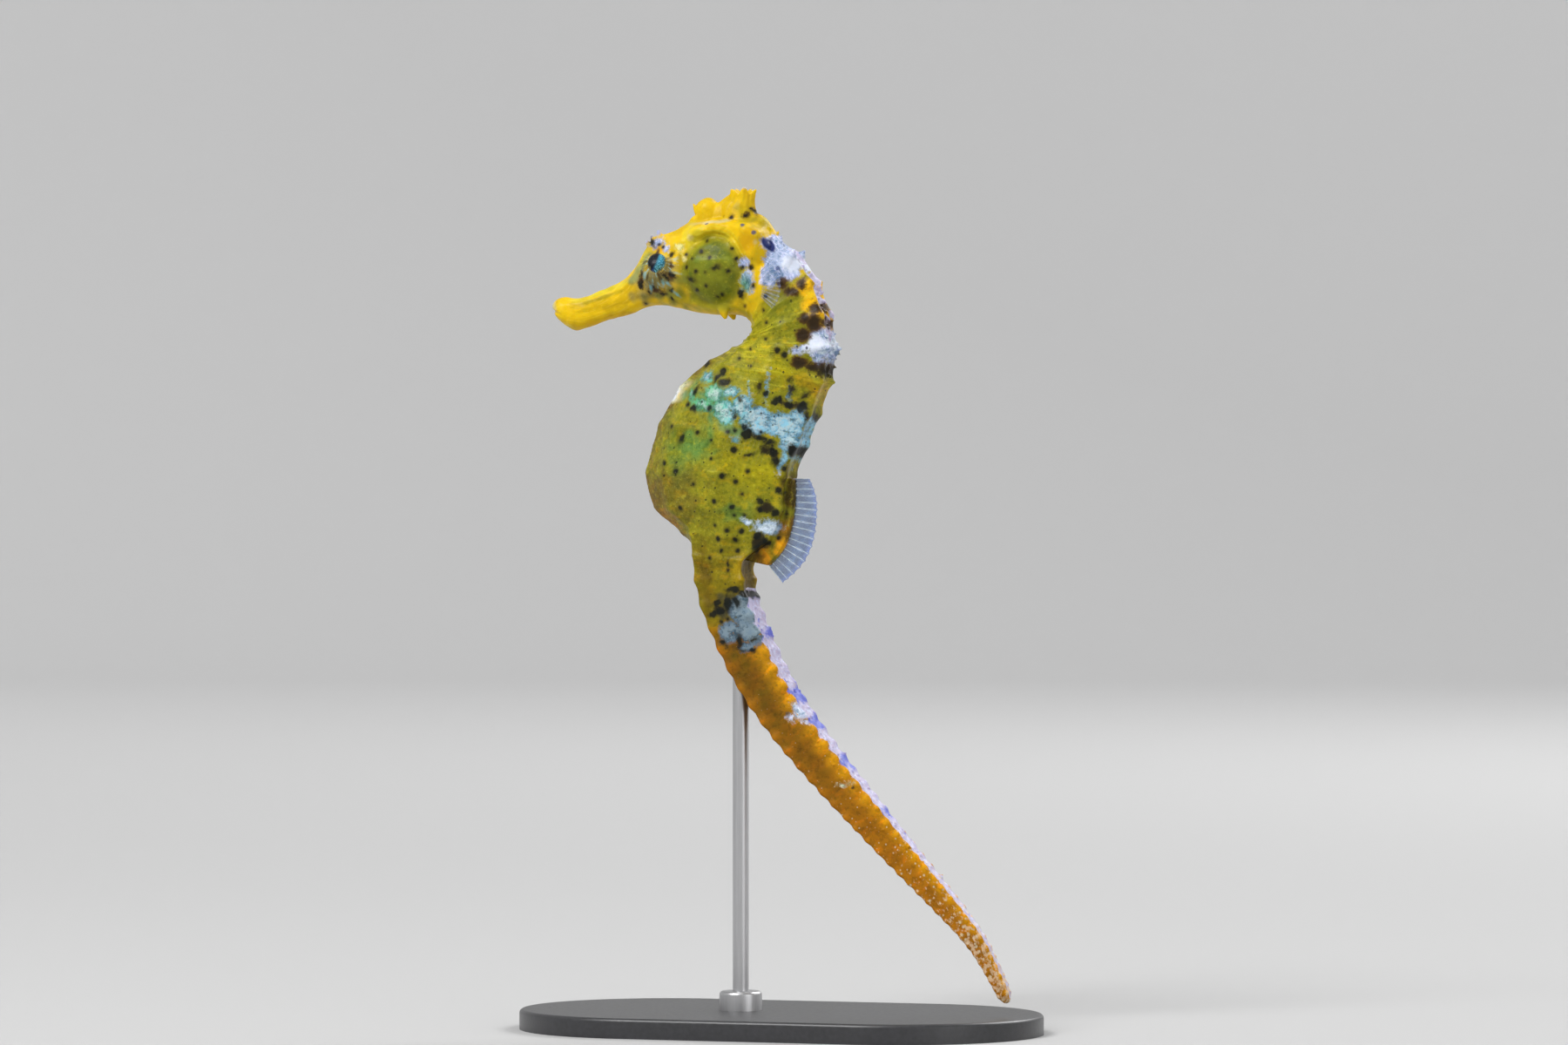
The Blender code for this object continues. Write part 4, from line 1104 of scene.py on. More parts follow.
def back_strip(skin):
    """How far inside the pale strip along the back each point lies, in mm; negative outside."""
    scallop = 0.26 * hump(skin.rings - np.round(skin.rings), 0.3)
    narrower = 0.3 * ease(22.0, 32.0, skin.rings)
    spread = np.abs(skin.ridges) * np.where(skin.y > 0, 0.6, 1.0)
    on_neck = ease(0.2, 0.9, skin.rings) * ease(4.6, 3.2, skin.rings)
    gaps = on_neck * np.clip(0.35 - 1.8 * skin.cloud, 0.1, 1)
    inwards = 1.06 - scallop - narrower - spread - gaps
    on_tail = ease(12.2, 12.6, skin.rings)
    return np.clip(inwards * 1.6, -2, 2) - 3 * (1 - np.maximum(on_neck, on_tail))


def tail_tint(skin, tint):
    """The gold and orange of the tail, deeper down its middle and under it, and browner up its upper
    stretch, partly its own mottling and partly painted shade where it faces away from the light.
    """
    ridges = np.abs(skin.ridges)
    near_ring = hump(skin.rings - np.round(skin.rings), 0.32)
    on_tail = ease(13.5, 15.5, skin.rings)
    shaded_upper_tail = on_tail * ease(30.0, 16.0, skin.rings)
    lobes = on_tail * hump(ridges - 1.15, 0.45) * (0.45 + 0.55 * near_ring)
    return towards(
        tint,
        (ROOT_OLIVE, ease(9.2, 11.6, skin.rings) * 0.85),
        (TAIL_ORANGE, on_tail),
        # Brown over the tail, and more of it up the upper stretch, which is partly painted shade where the
        # tail faces away from the light.
        (TAIL_BROWN_AND_SHADE, on_tail * 0.35 + shaded_upper_tail * 0.5),
        (TAIL_OLIVE, shaded_upper_tail * hump(ridges - 2.3, 0.8) * (0.4 + 1.2 * skin.cloud)),
        (ORANGE, lobes * 0.8),
        (TAIL_ORANGE, on_tail * hump(ridges - 3.0, 0.35) * near_ring * 0.6),
    )


def belly_tint(skin, tint):
    """The brown keel, with a cream painted highlight along it up by the chest."""
    keel = ease(3.2, 3.9, np.abs(skin.ridges))
    keel = keel * ease(3.5, 5.0, skin.rings) * ease(13.0, 10.0, skin.rings)
    return towards(
        tint,
        (KEEL_BROWN, keel * (0.7 + 0.8 * skin.cloud)),
        # A cream painted highlight along the keel by the chest.
        (CREAM, keel * ease(93.6, 94.2, skin.z) * ease(97.6, 96.4, skin.z)),
    )


def gill_tint(skin, tint):
    """The green gill cover with its lighter band, and the yellow folds round it."""
    centre, reach = GILL_COVER
    out = side_reach(skin.marked, centre, reach)
    band = hump(skin.z - centre[1] - 1.6, 0.5) * ease(1.05, 0.8, out)
    return towards(
        tint,
        (OLIVE, ease(1.45, 1.0, out) * 0.75),
        (GILL_GREEN, ease(1.15, 0.8, out) * (0.85 + 0.4 * skin.cloud)),
        (GILL_BAND, band * 0.55),
        (LEMON, ease(0.1, 0.7, gill_folds(skin.points)) * 0.45),
    )


def skin_tint(skin):
    """The skin's ground colour, in broad washes, with painted shade under the dorsal fin, and its pale
    points, whose white on the crown's tips is partly painted rim light.
    """
    tint = np.tile(YELLOW, (len(skin.x), 1))
    tint = towards(tint, (OLIVE, ease(0.3, 2.0, skin.rings) * 0.9))
    for add_tint in (tail_tint, belly_tint, gill_tint):
        tint = add_tint(skin, tint)
    for shade, centre, reach, tilt, strength in WASHES:
        out = side_reach(skin.points, centre, reach, tilt) + 0.7 * skin.cloud
        tint = towards(tint, (shade, ease(1.3, 0.3, out) * strength))
    # Painted shade on the back under the dorsal fin.
    under_fin_shade = ease(10.0, 10.6, skin.rings) * ease(12.8, 12.3, skin.rings)
    under_fin_shade = under_fin_shade * ease(1.2, 0.5, np.abs(skin.ridges))
    # The white of the crown's tips is partly their own colour and partly painted rim light.
    crown_tips_rim_lit = ease(125.5, 126.2, skin.z)
    spines = ease(0.25, 0.7, skin.off_body) * ease(-1.2, -0.4, skin.rings) * ease(8, 7, skin.rings)
    knobs = ease(0.2, 0.6, skin.off_body) * ease(116.6, 117.4, skin.z) * ease(-15.4, -16.2, skin.x)
    return towards(
        tint,
        (UNDER_FIN_SHADE, under_fin_shade * 0.8),
        (WHITE, np.maximum(crown_tips_rim_lit, spines) * 0.9),
        (NAPE_WHITE, knobs * 0.9),
    )


def pale_tint(skin):
    """The colour of the pale saddles: lilac white on the neck, and blue to teal on the trunk; pale yellow
    beside the brow and cream on the keel by the chest are painted highlights.
    """
    x, z = skin.x, skin.z
    on_trunk = ease(100.0, 97.5, z) * ease(82.0, 84.5, z)
    return towards(
        np.tile(NAPE_WHITE, (len(x), 1)),
        # Pale yellow beside the brow is a painted highlight.
        (BROW_HIGHLIGHT_YELLOW, ease(-16.2, -15.8, x) * ease(-12.0, -12.6, x) * ease(114, 115, z)),
        (MIST_BLUE, on_trunk),
        (ICE_BLUE, on_trunk * ease(-1.5, -5.0, x)),
        (TEAL, on_trunk * ease(-5.0, -9.5, x)),
        (ICE_BLUE, hump(x + 10.5, 1.2) * hump(z - 97.8, 0.9)),
        (MIST_BLUE, ease(82.0, 79.0, z)),
        (WHITE, ease(82.0, 79.0, z) * 0.45),
        (SADDLE_GREY, ease(68.0, 66.0, z)),
        (TEAL, hump(x + 4.4, 1.1) * hump(z - 111.2, 1.8) * 0.9),
        # Cream on the keel by the chest is a painted highlight.
        (CREAM, ease(-14.6, -15.4, x) * ease(92.0, 93.0, z) * ease(99, 98, z)),
        (WHITE, ease(52.0, 50.0, z)),
        (CREAM, ease(43.0, 41.0, z)),
    )


def set_values(mesh, name, values):
    """Writes one number, colour or vector for each point to the mesh."""
    values = np.asarray(values, np.float32)
    if values.ndim == 1:
        mesh.attributes.new(name, "FLOAT", "POINT").data.foreach_set("value", values)
    elif "tint" in name:
        rgba = np.concatenate([values, np.ones((len(values), 1), np.float32)], 1)
        mesh.attributes.new(name, "FLOAT_COLOR", "POINT").data.foreach_set("color", rgba.ravel())
    else:
        made = mesh.attributes.new(name, "FLOAT_VECTOR", "POINT")
        made.data.foreach_set("vector", values.ravel())


def round_the_eye(skin):
    """The way out from the eye and how far out, at each point, and how strongly its dashes show."""
    x, z = EYE_IN_SIDE_VIEW
    out = np.hypot(skin.x - x, skin.z - z)
    spokes = np.stack([(skin.x - x) / out, (skin.z - z) / out, out], 1)
    far = side_reach(skin.points, EYE_IN_SIDE_VIEW, EYE_RING_SHAPE)
    ring = ease(1.5, 2.0, far) * ease(5.3, 4.0, far) * ease(116.2, 114.8, skin.z)
    return spokes, ring * ease(0.1, 0.4, np.abs(skin.normals[:, 1]))


def skin_fields(skin):
    """The markings and regions by name, as fields that the skin's material turns into edges."""
    spokes, eye_ring = round_the_eye(skin)
    trunk = ease(0.5, 3.0, skin.rings) * ease(13.5, 11.5, skin.rings)
    head = ease(0.2, -0.5, skin.rings) * ease(-24.0, -16.0, skin.x)
    return {
        "tint": skin_tint(skin),
        "pale_tint": pale_tint(skin),
        "pale": inside(skin.marked, PALE_MARKS),
        "pads": inside(skin.marked, WHITE_PADS),
        "core": 0.3 + 0.5 * ease(68.0, 72.0, skin.z) * ease(108.0, 104.0, skin.z),
        "strip": back_strip(skin),
        "brown": np.maximum(inside(skin.marked, BROWN_MARKS), in_spots(skin, TAIL_SPOTS) - 0.1),
        "black": np.maximum(inside(skin.marked, BLACK_MARKS), in_spots(skin, SPOTS)),
        "blue": in_spots(skin, BLUE_SPOTS),
        # Patches of painted shade, lit blue, on the back of the tail.
        "blue_lit_shade": inside(skin.marked, BLUE_LIT_SHADE_MARKS),
        # Painted shade in the hollow of the gill opening.
        "hollow": inside(skin.slightly_moved, [GILL_HOLLOW_SHADE]),
        "cyan": inside(skin.slightly_moved, CYAN_MARKS) - facing_back(skin),
        "spokes": spokes,
        "eye_ring": eye_ring,
        "freckles": trunk + 0.35 * head,
        "glints": np.maximum(trunk, 0.3 * ease(13.5, 11.5, skin.rings)),
        "flecks": ease(14.0, 9.0, skin.rings),
        "snout": ease(-20.0, -24.0, skin.x),
        "below_neck": ease(100.0, 98.0, skin.z),
        "mottle": np.maximum(trunk, 0.8 * ease(11.5, 13.5, skin.rings)),
        "dots": ease(13.0, 44.0, skin.rings),
        "folds": ease(-0.3, 1.0, skin.rings) * ease(8.0, 4.5, skin.rings),
        "flow": np.stack([skin.lengths, skin.across, np.zeros(len(skin.x))], 1),
    }


# ---------------------------------------------------------------- materials


class Look:
    """A material, with short calls for the nodes that feed its surface."""

    def __init__(self, name, roughness=0.4, metallic=0.0):
        self.material = bpy.data.materials.new(name)
        self.material.use_nodes = True
        self.tree = self.material.node_tree
        self.surface = self.tree.nodes["Principled BSDF"]
        self.set("Roughness", roughness)
        self.set("Metallic", metallic)

    def set(self, socket, value):
        self.put(self.surface.inputs[socket], value)

    def put(self, socket, value):
        """Links or sets a socket; a colour socket takes three numbers."""
        if isinstance(value, bpy.types.NodeSocket):
            self.tree.links.new(value, socket)
        elif isinstance(value, tuple) and len(socket.default_value) == 4:
            socket.default_value = (*value, 1)
        else:
            socket.default_value = value

    def node(self, kind, **settings):
        made = self.tree.nodes.new(kind)
        for key, value in settings.items():
            setattr(made, key, value)
        return made

    def attribute(self, name, output="Fac"):
        return self.node("ShaderNodeAttribute", attribute_name=name).outputs[output]

    def position(self):
        """The place on the object, in mm."""
        place = self.node("ShaderNodeTexCoord").outputs["Object"]
        return self.stretched(place, (1 / MM,) * 3)

    def stretched(self, vector, scale):
        made = self.node("ShaderNodeVectorMath", operation="MULTIPLY")
        self.put(made.inputs[0], vector)
        made.inputs[1].default_value = scale
        return made.outputs["Vector"]

    def noise(self, vector, scale, detail=2.0, roughness=0.5):
        """Noise about 0, mostly from -0.3 to 0.3, of this many waves a mm."""
        made = self.node("ShaderNodeTexNoise")
        self.put(made.inputs["Vector"], vector)
        made.inputs["Scale"].default_value = scale
        made.inputs["Detail"].default_value = detail
        made.inputs["Roughness"].default_value = roughness
        return self.maths("SUBTRACT", made.outputs["Fac"], 0.5)

    def dots(self, vector, scale, channel):
        """(distance from the middle of the nearest dot, a number from 0 to 1 of its own)."""
        made = self.node("ShaderNodeTexVoronoi", voronoi_dimensions="2D")
        self.put(made.inputs["Vector"], vector)
        made.inputs["Scale"].default_value = scale
        own = self.node("ShaderNodeSeparateColor")
        self.put(own.inputs[0], made.outputs["Color"])
        return made.outputs["Distance"], own.outputs[channel]

    def maths(self, operation, a, b=0.0):
        made = self.node("ShaderNodeMath", operation=operation)
        self.put(made.inputs[0], a)
        self.put(made.inputs[1], b)
        return made.outputs[0]

    def add(self, a, b):
        return self.maths("ADD", a, b)

    def less(self, a, b):
        return self.maths("SUBTRACT", a, b)

    def times(self, a, b):
        return self.maths("MULTIPLY", a, b)

    def step(self, value, low, high):
        """0 below low and 1 above high, smoothly between."""
        made = self.node("ShaderNodeMapRange", interpolation_type="SMOOTHSTEP")
        self.put(made.inputs["Value"], value)
        made.inputs["From Min"].default_value = low
        made.inputs["From Max"].default_value = high
        return made.outputs["Result"]

    def mix(self, weight, a, b, blend="MIX"):
        made = self.node("ShaderNodeMix", data_type="RGBA", blend_type=blend, clamp_result=True)
        colours = [socket for socket in made.inputs if socket.type == "RGBA"]
        self.put(made.inputs["Factor"], weight)
        self.put(colours[0], a)
        self.put(colours[1], b)
        return [socket for socket in made.outputs if socket.type == "RGBA"][0]

    def scaled(self, shade, factors):
        """The colour with each channel multiplied by its factor."""
        return self.mix(1.0, shade, factors, "MULTIPLY")

    def layered(self, shade, *layers):
        """The colour with each (where, strength, colour) layer laid over it in turn."""
        for where, strength, paint in layers:
            shade = self.mix(self.times(where, strength), shade, paint)
        return shade

    def bump(self, height, distance, before=None):
        """Bump whose height of 1 stands for this distance, in mm."""
        made = self.node("ShaderNodeBump")
        made.inputs["Strength"].default_value = 1.0
        made.inputs["Distance"].default_value = distance * MM
        self.put(made.inputs["Height"], height)
        if before is not None:
            self.put(made.inputs["Normal"], before)
        return made.outputs["Normal"]


class SkinLook(Look):
    """The animal's skin, painted from the fields of skin_fields."""

    def __init__(self):
        super().__init__("seahorse_skin", roughness=0.42)
        place = self.position()
        self.flow = self.attribute("flow", "Vector")
        spokes = self.stretched(self.attribute("spokes", "Vector"), (4.6, 4.6, 0.5))
        self.spokes = self.noise(spokes, 1.0)
        self.broad = self.noise(place, 0.35, 3.0)
        self.fine = self.noise(place, 1.6, 4.0, 0.6)
        self.grain = self.noise(place, 6.0, 2.0, 0.6)
        self.ragged = self.add(self.times(self.fine, 0.9), self.times(self.grain, 0.4))
        self.folds = self.times(self.drawn_out(1.7, 0.22, 2.0, 0.5), self.attribute("folds"))

    def drawn_out(self, along_body, round_body, detail=3.0, roughness=0.6):
        """Noise of these many waves a mm along and round the body."""
        place = self.stretched(self.flow, (along_body, round_body, 1.0))
        return self.noise(place, 1.0, detail, roughness)

    def edge(self, field, low, high, raggedness):
        """Where this field of mm is inside its marks, with a ragged edge from low to high."""
        depth = self.add(self.attribute(field), self.times(self.ragged, raggedness))
        return self.step(depth, low, high)

    def within(self, field, value, low, high):
        """The step from low to high in this value, where the field is 1."""
        return self.times(self.step(value, low, high), self.attribute(field))

    def ground(self):
        """The ground colour with its cloudy, mottled and streaked shades, and painted highlights and shade
        on the neck's folds.
        """
        shade = self.attribute("tint", "Color")
        patches = self.drawn_out(0.9, 0.45)
        streaks = self.drawn_out(0.3, 2.4)
        for where, strength, factors in (
            (self.step(self.broad, 0.06, -0.12), 0.65, (0.72, 0.7, 0.42)),
            (self.within("mottle", patches, 0.02, 0.16), 0.7, (1.6, 1.25, 0.5)),
            (self.within("mottle", self.fine, 0.02, -0.16), 0.65, (0.48, 0.54, 0.4)),
        ):
            shade = self.layered(shade, (where, strength, self.scaled(shade, factors)))
        return self.layered(
            shade,
            (self.within("flecks", self.fine, 0.04, 0.24), 0.3, LEMON),
            (self.within("snout", streaks, 0.03, 0.16), 0.2, SNOUT_STREAK),
            (self.within("snout", streaks, -0.02, -0.16), 0.14, MOSS),
            # Painted highlights on the crests of the neck folds, and painted shade in their troughs.
            (self.step(self.folds, 0.02, 0.22), 0.4, LEMON),
            (self.step(self.folds, -0.04, -0.22), 0.2, MOSS),
            (self.within("glints", self.grain, 0.08, 0.26), 0.3, GLINT),
        )

    def back_strip(self, shade):
        """The pale strip along the back, tinted lilac as a painted reflection of blue light, with specks
        and patches of painted shade lit blue.
        """
        lilac = self.layered(
            # The lilac is a painted reflection of blue light on white skin, and the specks and patches are
            # painted shade lit blue.
            self.mix(self.step(self.fine, -0.1, 0.3), LILAC_REFLECTION, WHITE),
            (self.step(self.noise(self.flow, 0.6, 2.0), 0.12, 0.22), 0.7, BLUE_LIT_SHADE),
            (self.edge("blue_lit_shade", -0.2, 0.3, 0.8), 0.85, BLUE_LIT_SHADE),
        )
        return self.mix(self.edge("strip", -0.08, 0.14, 0.6), shade, lilac)

    def saddles(self, shade):
        """The pale saddles, with threads and wisps in them, and holes below the neck."""
        threads = self.drawn_out(0.45, 0.9)
        wisps = self.drawn_out(0.7, 0.4, 4.0, 0.65)
        pale = self.attribute("pale_tint", "Color")
        shadow = self.scaled(pale, (0.3, 0.46, 0.48))
        light = self.scaled(pale, (2.3, 1.9, 1.6))
        core = self.mix(0.85, pale, SADDLE_CORE)
        pale = self.layered(
            pale,
            (self.edge("pale", 0.1, 1.0, 1.8), self.attribute("core"), core),
            (self.step(wisps, 0.02, -0.12), 0.85, shadow),
            (self.step(wisps, 0.03, 0.14), 0.8, light),
            (self.step(self.fine, -0.02, -0.16), 0.5, shadow),
            (self.step(self.maths("ABSOLUTE", threads), 0.03, 0.0), 0.6, light),
            (self.edge("pads", -0.2, 0.6, 1.0), 0.9, PAD_WHITE),
        )
        gaps = self.add(wisps, self.times(self.fine, 0.7))
        holes = self.within("below_neck", gaps, -0.1, -0.22)
        cover = self.times(self.edge("pale", -0.25, 0.45, 1.6), self.less(1.0, self.times(holes, 0.7)))
        return self.mix(cover, shade, pale)

    def dark_marks(self, shade):
        """The dashes round the eye, the brown, black and blue marks, and painted shade in the hollow of the
        gill opening.
        """
        brown = self.mix(self.attribute("below_neck"), BROWN, TRUNK_BROWN)
        return self.layered(
            shade,
            (self.within("eye_ring", self.spokes, 0.04, 0.14), 0.6, PALE_DASH),
            (self.within("eye_ring", self.spokes, -0.02, -0.14), 0.75, DARK_DASH),
            (self.edge("brown", -0.15, 0.5, 1.3), 0.94, brown),
            (self.edge("brown", 0.25, 0.9, 1.0), 0.8, DARK_BROWN),
            (self.edge("black", -0.5, 0.1, 0.6), 0.4, brown),
            (self.edge("black", -0.18, 0.2, 0.6), 0.94, INK),
            (self.edge("blue", -0.12, 0.16, 0.15), 0.85, SPOT_BLUE),
            # Painted shade in the hollow of the gill opening.
            (self.edge("hollow", -0.15, 0.15, 0.15), 0.95, HOLLOW_SHADE_BLUE),
            (self.edge("cyan", -0.2, 0.2, 0.4), 0.5, CYAN),
        )

    def small_spots(self, shade):
        """Dark freckles, and pale dots and blotches that crowd towards the tail's tip."""
        far, own = self.dots(self.flow, 0.55, 0)
        radius = self.less(self.times(own, 0.17), 0.07)
        freckles = self.within("freckles", self.less(radius, far), -0.03, 0.03)
        crowding = self.attribute("dots")
        far, own = self.dots(self.flow, 1.15, 1)
        radius = self.times(self.add(own, self.less(crowding, 1.1)), 0.3)
        dots = self.step(self.less(radius, far), -0.14, 0.08)
        crowding = self.less(self.times(crowding, 0.42), 0.38)
        blotches = self.step(self.add(self.drawn_out(1.1, 1.5), crowding), -0.02, 0.12)
        return self.layered(shade, (freckles, 0.8, INK), (dots, 0.6, CREAM), (blotches, 0.8, TIP_CREAM))

    def finish(self):
        shade = self.ground()
        for paint in (self.saddles, self.back_strip, self.dark_marks, self.small_spots):
            shade = paint(shade)
        self.set("Base Color", shade)
        self.set("Specular IOR Level", 0.13)
        self.set("Subsurface Weight", 0.12)
        self.set("Subsurface Radius", (1.0, 0.6, 0.25))
        self.set("Subsurface Scale", 0.8 * MM)
        self.set("Coat Weight", 0.06)
        self.set("Coat Roughness", 0.2)
        rough = self.bump(self.grain, 0.035)
        rough = self.bump(self.fine, 0.07, rough)
        self.set("Normal", self.bump(self.folds, 0.12, rough))
        return self.material


# ---------------------------------------------------------------- the eyes

EYE_COLUMNS = 160
EYE_ROWS = 90
EYE_BALL_RADIUS = 2.4
CORNEA_RISE = 0.2
IRIS_TEAL = colour(16, 78, 98)
IRIS_REFLECTION = colour(70, 160, 190)
IRIS_GREEN = colour(54, 122, 108)
IRIS_BLUE = colour(20, 50, 120)
IRIS_DASH_GLINT = colour(140, 208, 232)
IRIS_GAP = colour(10, 44, 66)
IRIS_GREY = colour(30, 40, 44)
PUPIL_BLACK = colour(6, 12, 24)
EYE_SURROUND = colour(104, 96, 54)
PUPIL_CENTRE = (-0.55, 0.05)
PUPIL_REACH = (0.74, 1.8)
PUPIL_LEAN = 17.0


def oval(across, upwards):
    """How far out in the eye's opening each point lies: 1 on its edge."""
    return np.hypot(across / EYE_OPENING[0], upwards / EYE_OPENING[1])


def iris_edge(across, upwards):
    """0 in the iris and 1 in the skin round it, with an uneven edge."""
    angle = np.arctan2(upwards, across)
    uneven = 0.08 * np.sin(5 * angle + 0.8) + 0.06 * np.sin(13 * angle)
    return ease(0.76, 1.0, oval(across, upwards) + uneven)


def eye_tint(across, upwards):
    """The iris, from dark blue through teal to a bright blue painted reflection, and the slanted pupil."""
    painted_reflection = hump(np.hypot((across - 0.55) / 0.75, (upwards - 0.35) / 1.1), 1.0)
    lean = math.radians(PUPIL_LEAN)
    u, v = across - PUPIL_CENTRE[0], upwards - PUPIL_CENTRE[1]
    wide = u * math.cos(lean) - v * math.sin(lean)
    high = u * math.sin(lean) + v * math.cos(lean)
    out = np.hypot(wide / PUPIL_REACH[0], high / PUPIL_REACH[1])
    return towards(
        np.tile(IRIS_TEAL, (len(across), 1)),
        (IRIS_REFLECTION, painted_reflection * 0.9),
        (IRIS_GREEN, ease(-0.3, -1.3, upwards) * ease(-0.4, 0.4, across) * 0.8),
        (IRIS_BLUE, ease(-0.3, -1.0, upwards) * ease(0.0, -0.7, across)),
        (PUPIL_BLACK, ease(1.3, 0.75, out)),
        (EYE_SURROUND, iris_edge(across, upwards)),
    )


def eye_look():
    """A wet eye with bright dashes that run outwards from the pupil, shown as painted glints on the lit
    side of the iris.
    """
    look = Look("eye_wet", roughness=0.3)
    spokes = look.stretched(look.attribute("spokes", "Vector"), (13.0, 13.0, 4.5))
    rays = look.noise(spokes, 1.0, 2.0, 0.6)
    fine = look.noise(look.position(), 5.0, 3.0, 0.6)
    lit = look.attribute("lit")
    shade = look.layered(
        look.attribute("tint", "Color"),
        # The iris's radiating dashes, shown only on its lit side, are painted glints.
        (look.times(look.step(rays, 0.04, 0.14), lit), 0.7, IRIS_DASH_GLINT),
        (look.times(look.step(rays, -0.02, -0.12), lit), 0.8, IRIS_GAP),
        (look.step(fine, 0.05, 0.3), 0.3, IRIS_GREY),
    )
    look.set("Base Color", shade)
    look.set("Specular IOR Level", 0.2)
    look.set("Coat Weight", 0.1)
    look.set("Coat Roughness", 0.12)
    look.set("Normal", look.bump(rays, 0.04))
    return look.material


def build_eyes():
    """Each eye's ball, which bulges a little out of the opening in its turret."""
    look = eye_look()
    out = np.linspace(0.01, math.pi - 0.01, EYE_ROWS)[:, None]
    turn = (np.arange(EYE_COLUMNS) * 2 * math.pi / EYE_COLUMNS)[None]
    across = TURRET_RADIUS * out * np.cos(turn)
    upwards = TURRET_RADIUS * out * np.sin(turn)
    within = oval(across, upwards)
    radius = np.maximum(TURRET_RADIUS + CORNEA_RISE * (1 - within**2), EYE_BALL_RADIUS)
    u, v = across.ravel(), upwards.ravel()
    far = np.hypot(u - PUPIL_CENTRE[0], v - PUPIL_CENTRE[1])
    spokes = np.stack([(u - PUPIL_CENTRE[0]) / far, (v - PUPIL_CENTRE[1]) / far, far], 1)
    for name, side in SIDES:
        shapes = Shapes()
        shapes.rows(on_turret(side, across, upwards, radius))
        eye = new_object(f"{name}_eyeball", shapes.mesh(f"{name}_eyeball"))
        set_values(eye.data, "tint", eye_tint(u, v))
        set_values(eye.data, "spokes", spokes)
        # The lit side of the iris, where its dashes show as painted glints.
        lit = ease(-0.15, 0.5, u - 0.3 * v) * (1 - iris_edge(u, v))
        set_values(eye.data, "lit", lit)
        eye.data.materials.append(look)
        in_metres(eye)
        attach(eye, "root")
        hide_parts(f"{name}_eye")


# ---------------------------------------------------------------- the fins

MEMBRANE_THICKNESS = 0.1
RAY_RADIUS = 0.085
STEPS_BETWEEN_RAYS = 8
STEPS_ALONG_RAYS = 26
RAY_TAPER = 0.55
MEMBRANE_TRANSMITTED_BLUES = (colour(60, 90, 134), colour(108, 138, 178))
MEMBRANE_EDGE_HIGHLIGHT = colour(112, 140, 214)
MEMBRANE_WHITE = colour(204, 214, 226)
RAY_WHITES = (colour(150, 166, 184), colour(228, 234, 238))


def membrane_look(name, opacity):
    """A thin clear skin, painted blue for the blue light seen through it, bluer at its edge as a painted
    highlight, and whiter beside the rays.
    """
    look = Look(name, roughness=0.22)
    place = look.position()
    cloudy = look.noise(place, 0.9, 3.0)
    ribbed = look.maths("ABSOLUTE", look.less(look.attribute("between_rays"), 0.5))
    near_ray = look.step(look.add(ribbed, look.times(cloudy, 0.3)), 0.22, 0.5)
    shade = look.layered(
        # The blues stand for blue light seen through the membrane, and the edge's blue is a painted
        # highlight.
        look.mix(look.step(cloudy, -0.2, 0.25), *MEMBRANE_TRANSMITTED_BLUES),
        (look.step(look.attribute("ray_share"), 0.8, 0.97), 0.6, MEMBRANE_EDGE_HIGHLIGHT),
        (near_ray, 0.6, MEMBRANE_WHITE),
    )
    look.set("Base Color", shade)
    opaque = look.add(opacity, look.times(look.step(ribbed, 0.2, 0.5), 0.2))
    look.set("Alpha", look.add(opaque, look.times(cloudy, 0.5 * opacity)))
    look.set("Coat Weight", 0.5)
    look.set("Coat Roughness", 0.1)
    look.set("Normal", look.bump(look.noise(place, 3.0, 3.0), 0.05))
    return look.material


def ray_look(name, opacity):
    """The whitish rays, faintly barred."""
    look = Look(name, roughness=0.3)
    bars = look.noise(look.position(), 2.4, 2.0)
    look.set("Base Color", look.mix(look.step(bars, -0.2, 0.2), *RAY_WHITES))
    look.set("Subsurface Weight", 0.2)
    look.set("Subsurface Scale", 0.4 * MM)
    look.set("Alpha", opacity)
    look.set("Normal", look.bump(bars, 0.04))
    return look.material


def fan_surface(roots, tips, waves, notch):
    """A fin's rippled middle surface, and where its columns and rows lie between the rays.

    waves is the height of the ripples in mm, and notch how far the edge dips between two rays, as
    a share of their length.
    """
    columns = np.linspace(0, len(roots) - 1, (len(roots) - 1) * STEPS_BETWEEN_RAYS + 1)
    between = columns % 1.0
    reach = np.linspace(0, 1, STEPS_ALONG_RAYS)
    out = reach[None, :, None]
    root = smooth(roots, columns)
    edge = 1 - notch * (1 - (2 * between - 1) ** 2)
    way = (smooth(tips, columns) - root) * edge[:, None]
    away = np.cross(way, np.gradient(root, axis=0))
    away /= np.linalg.norm(away, axis=1)[:, None]
    ripple = waves * np.sin(columns * 0.9)[:, None, None] * (out**1.5)
    points = root[:, None] + way[:, None] * out + away[:, None] * ripple
    half = away[:, None] * (MEMBRANE_THICKNESS / 2) * (1 - 0.5 * out)
    return points, half, between, reach


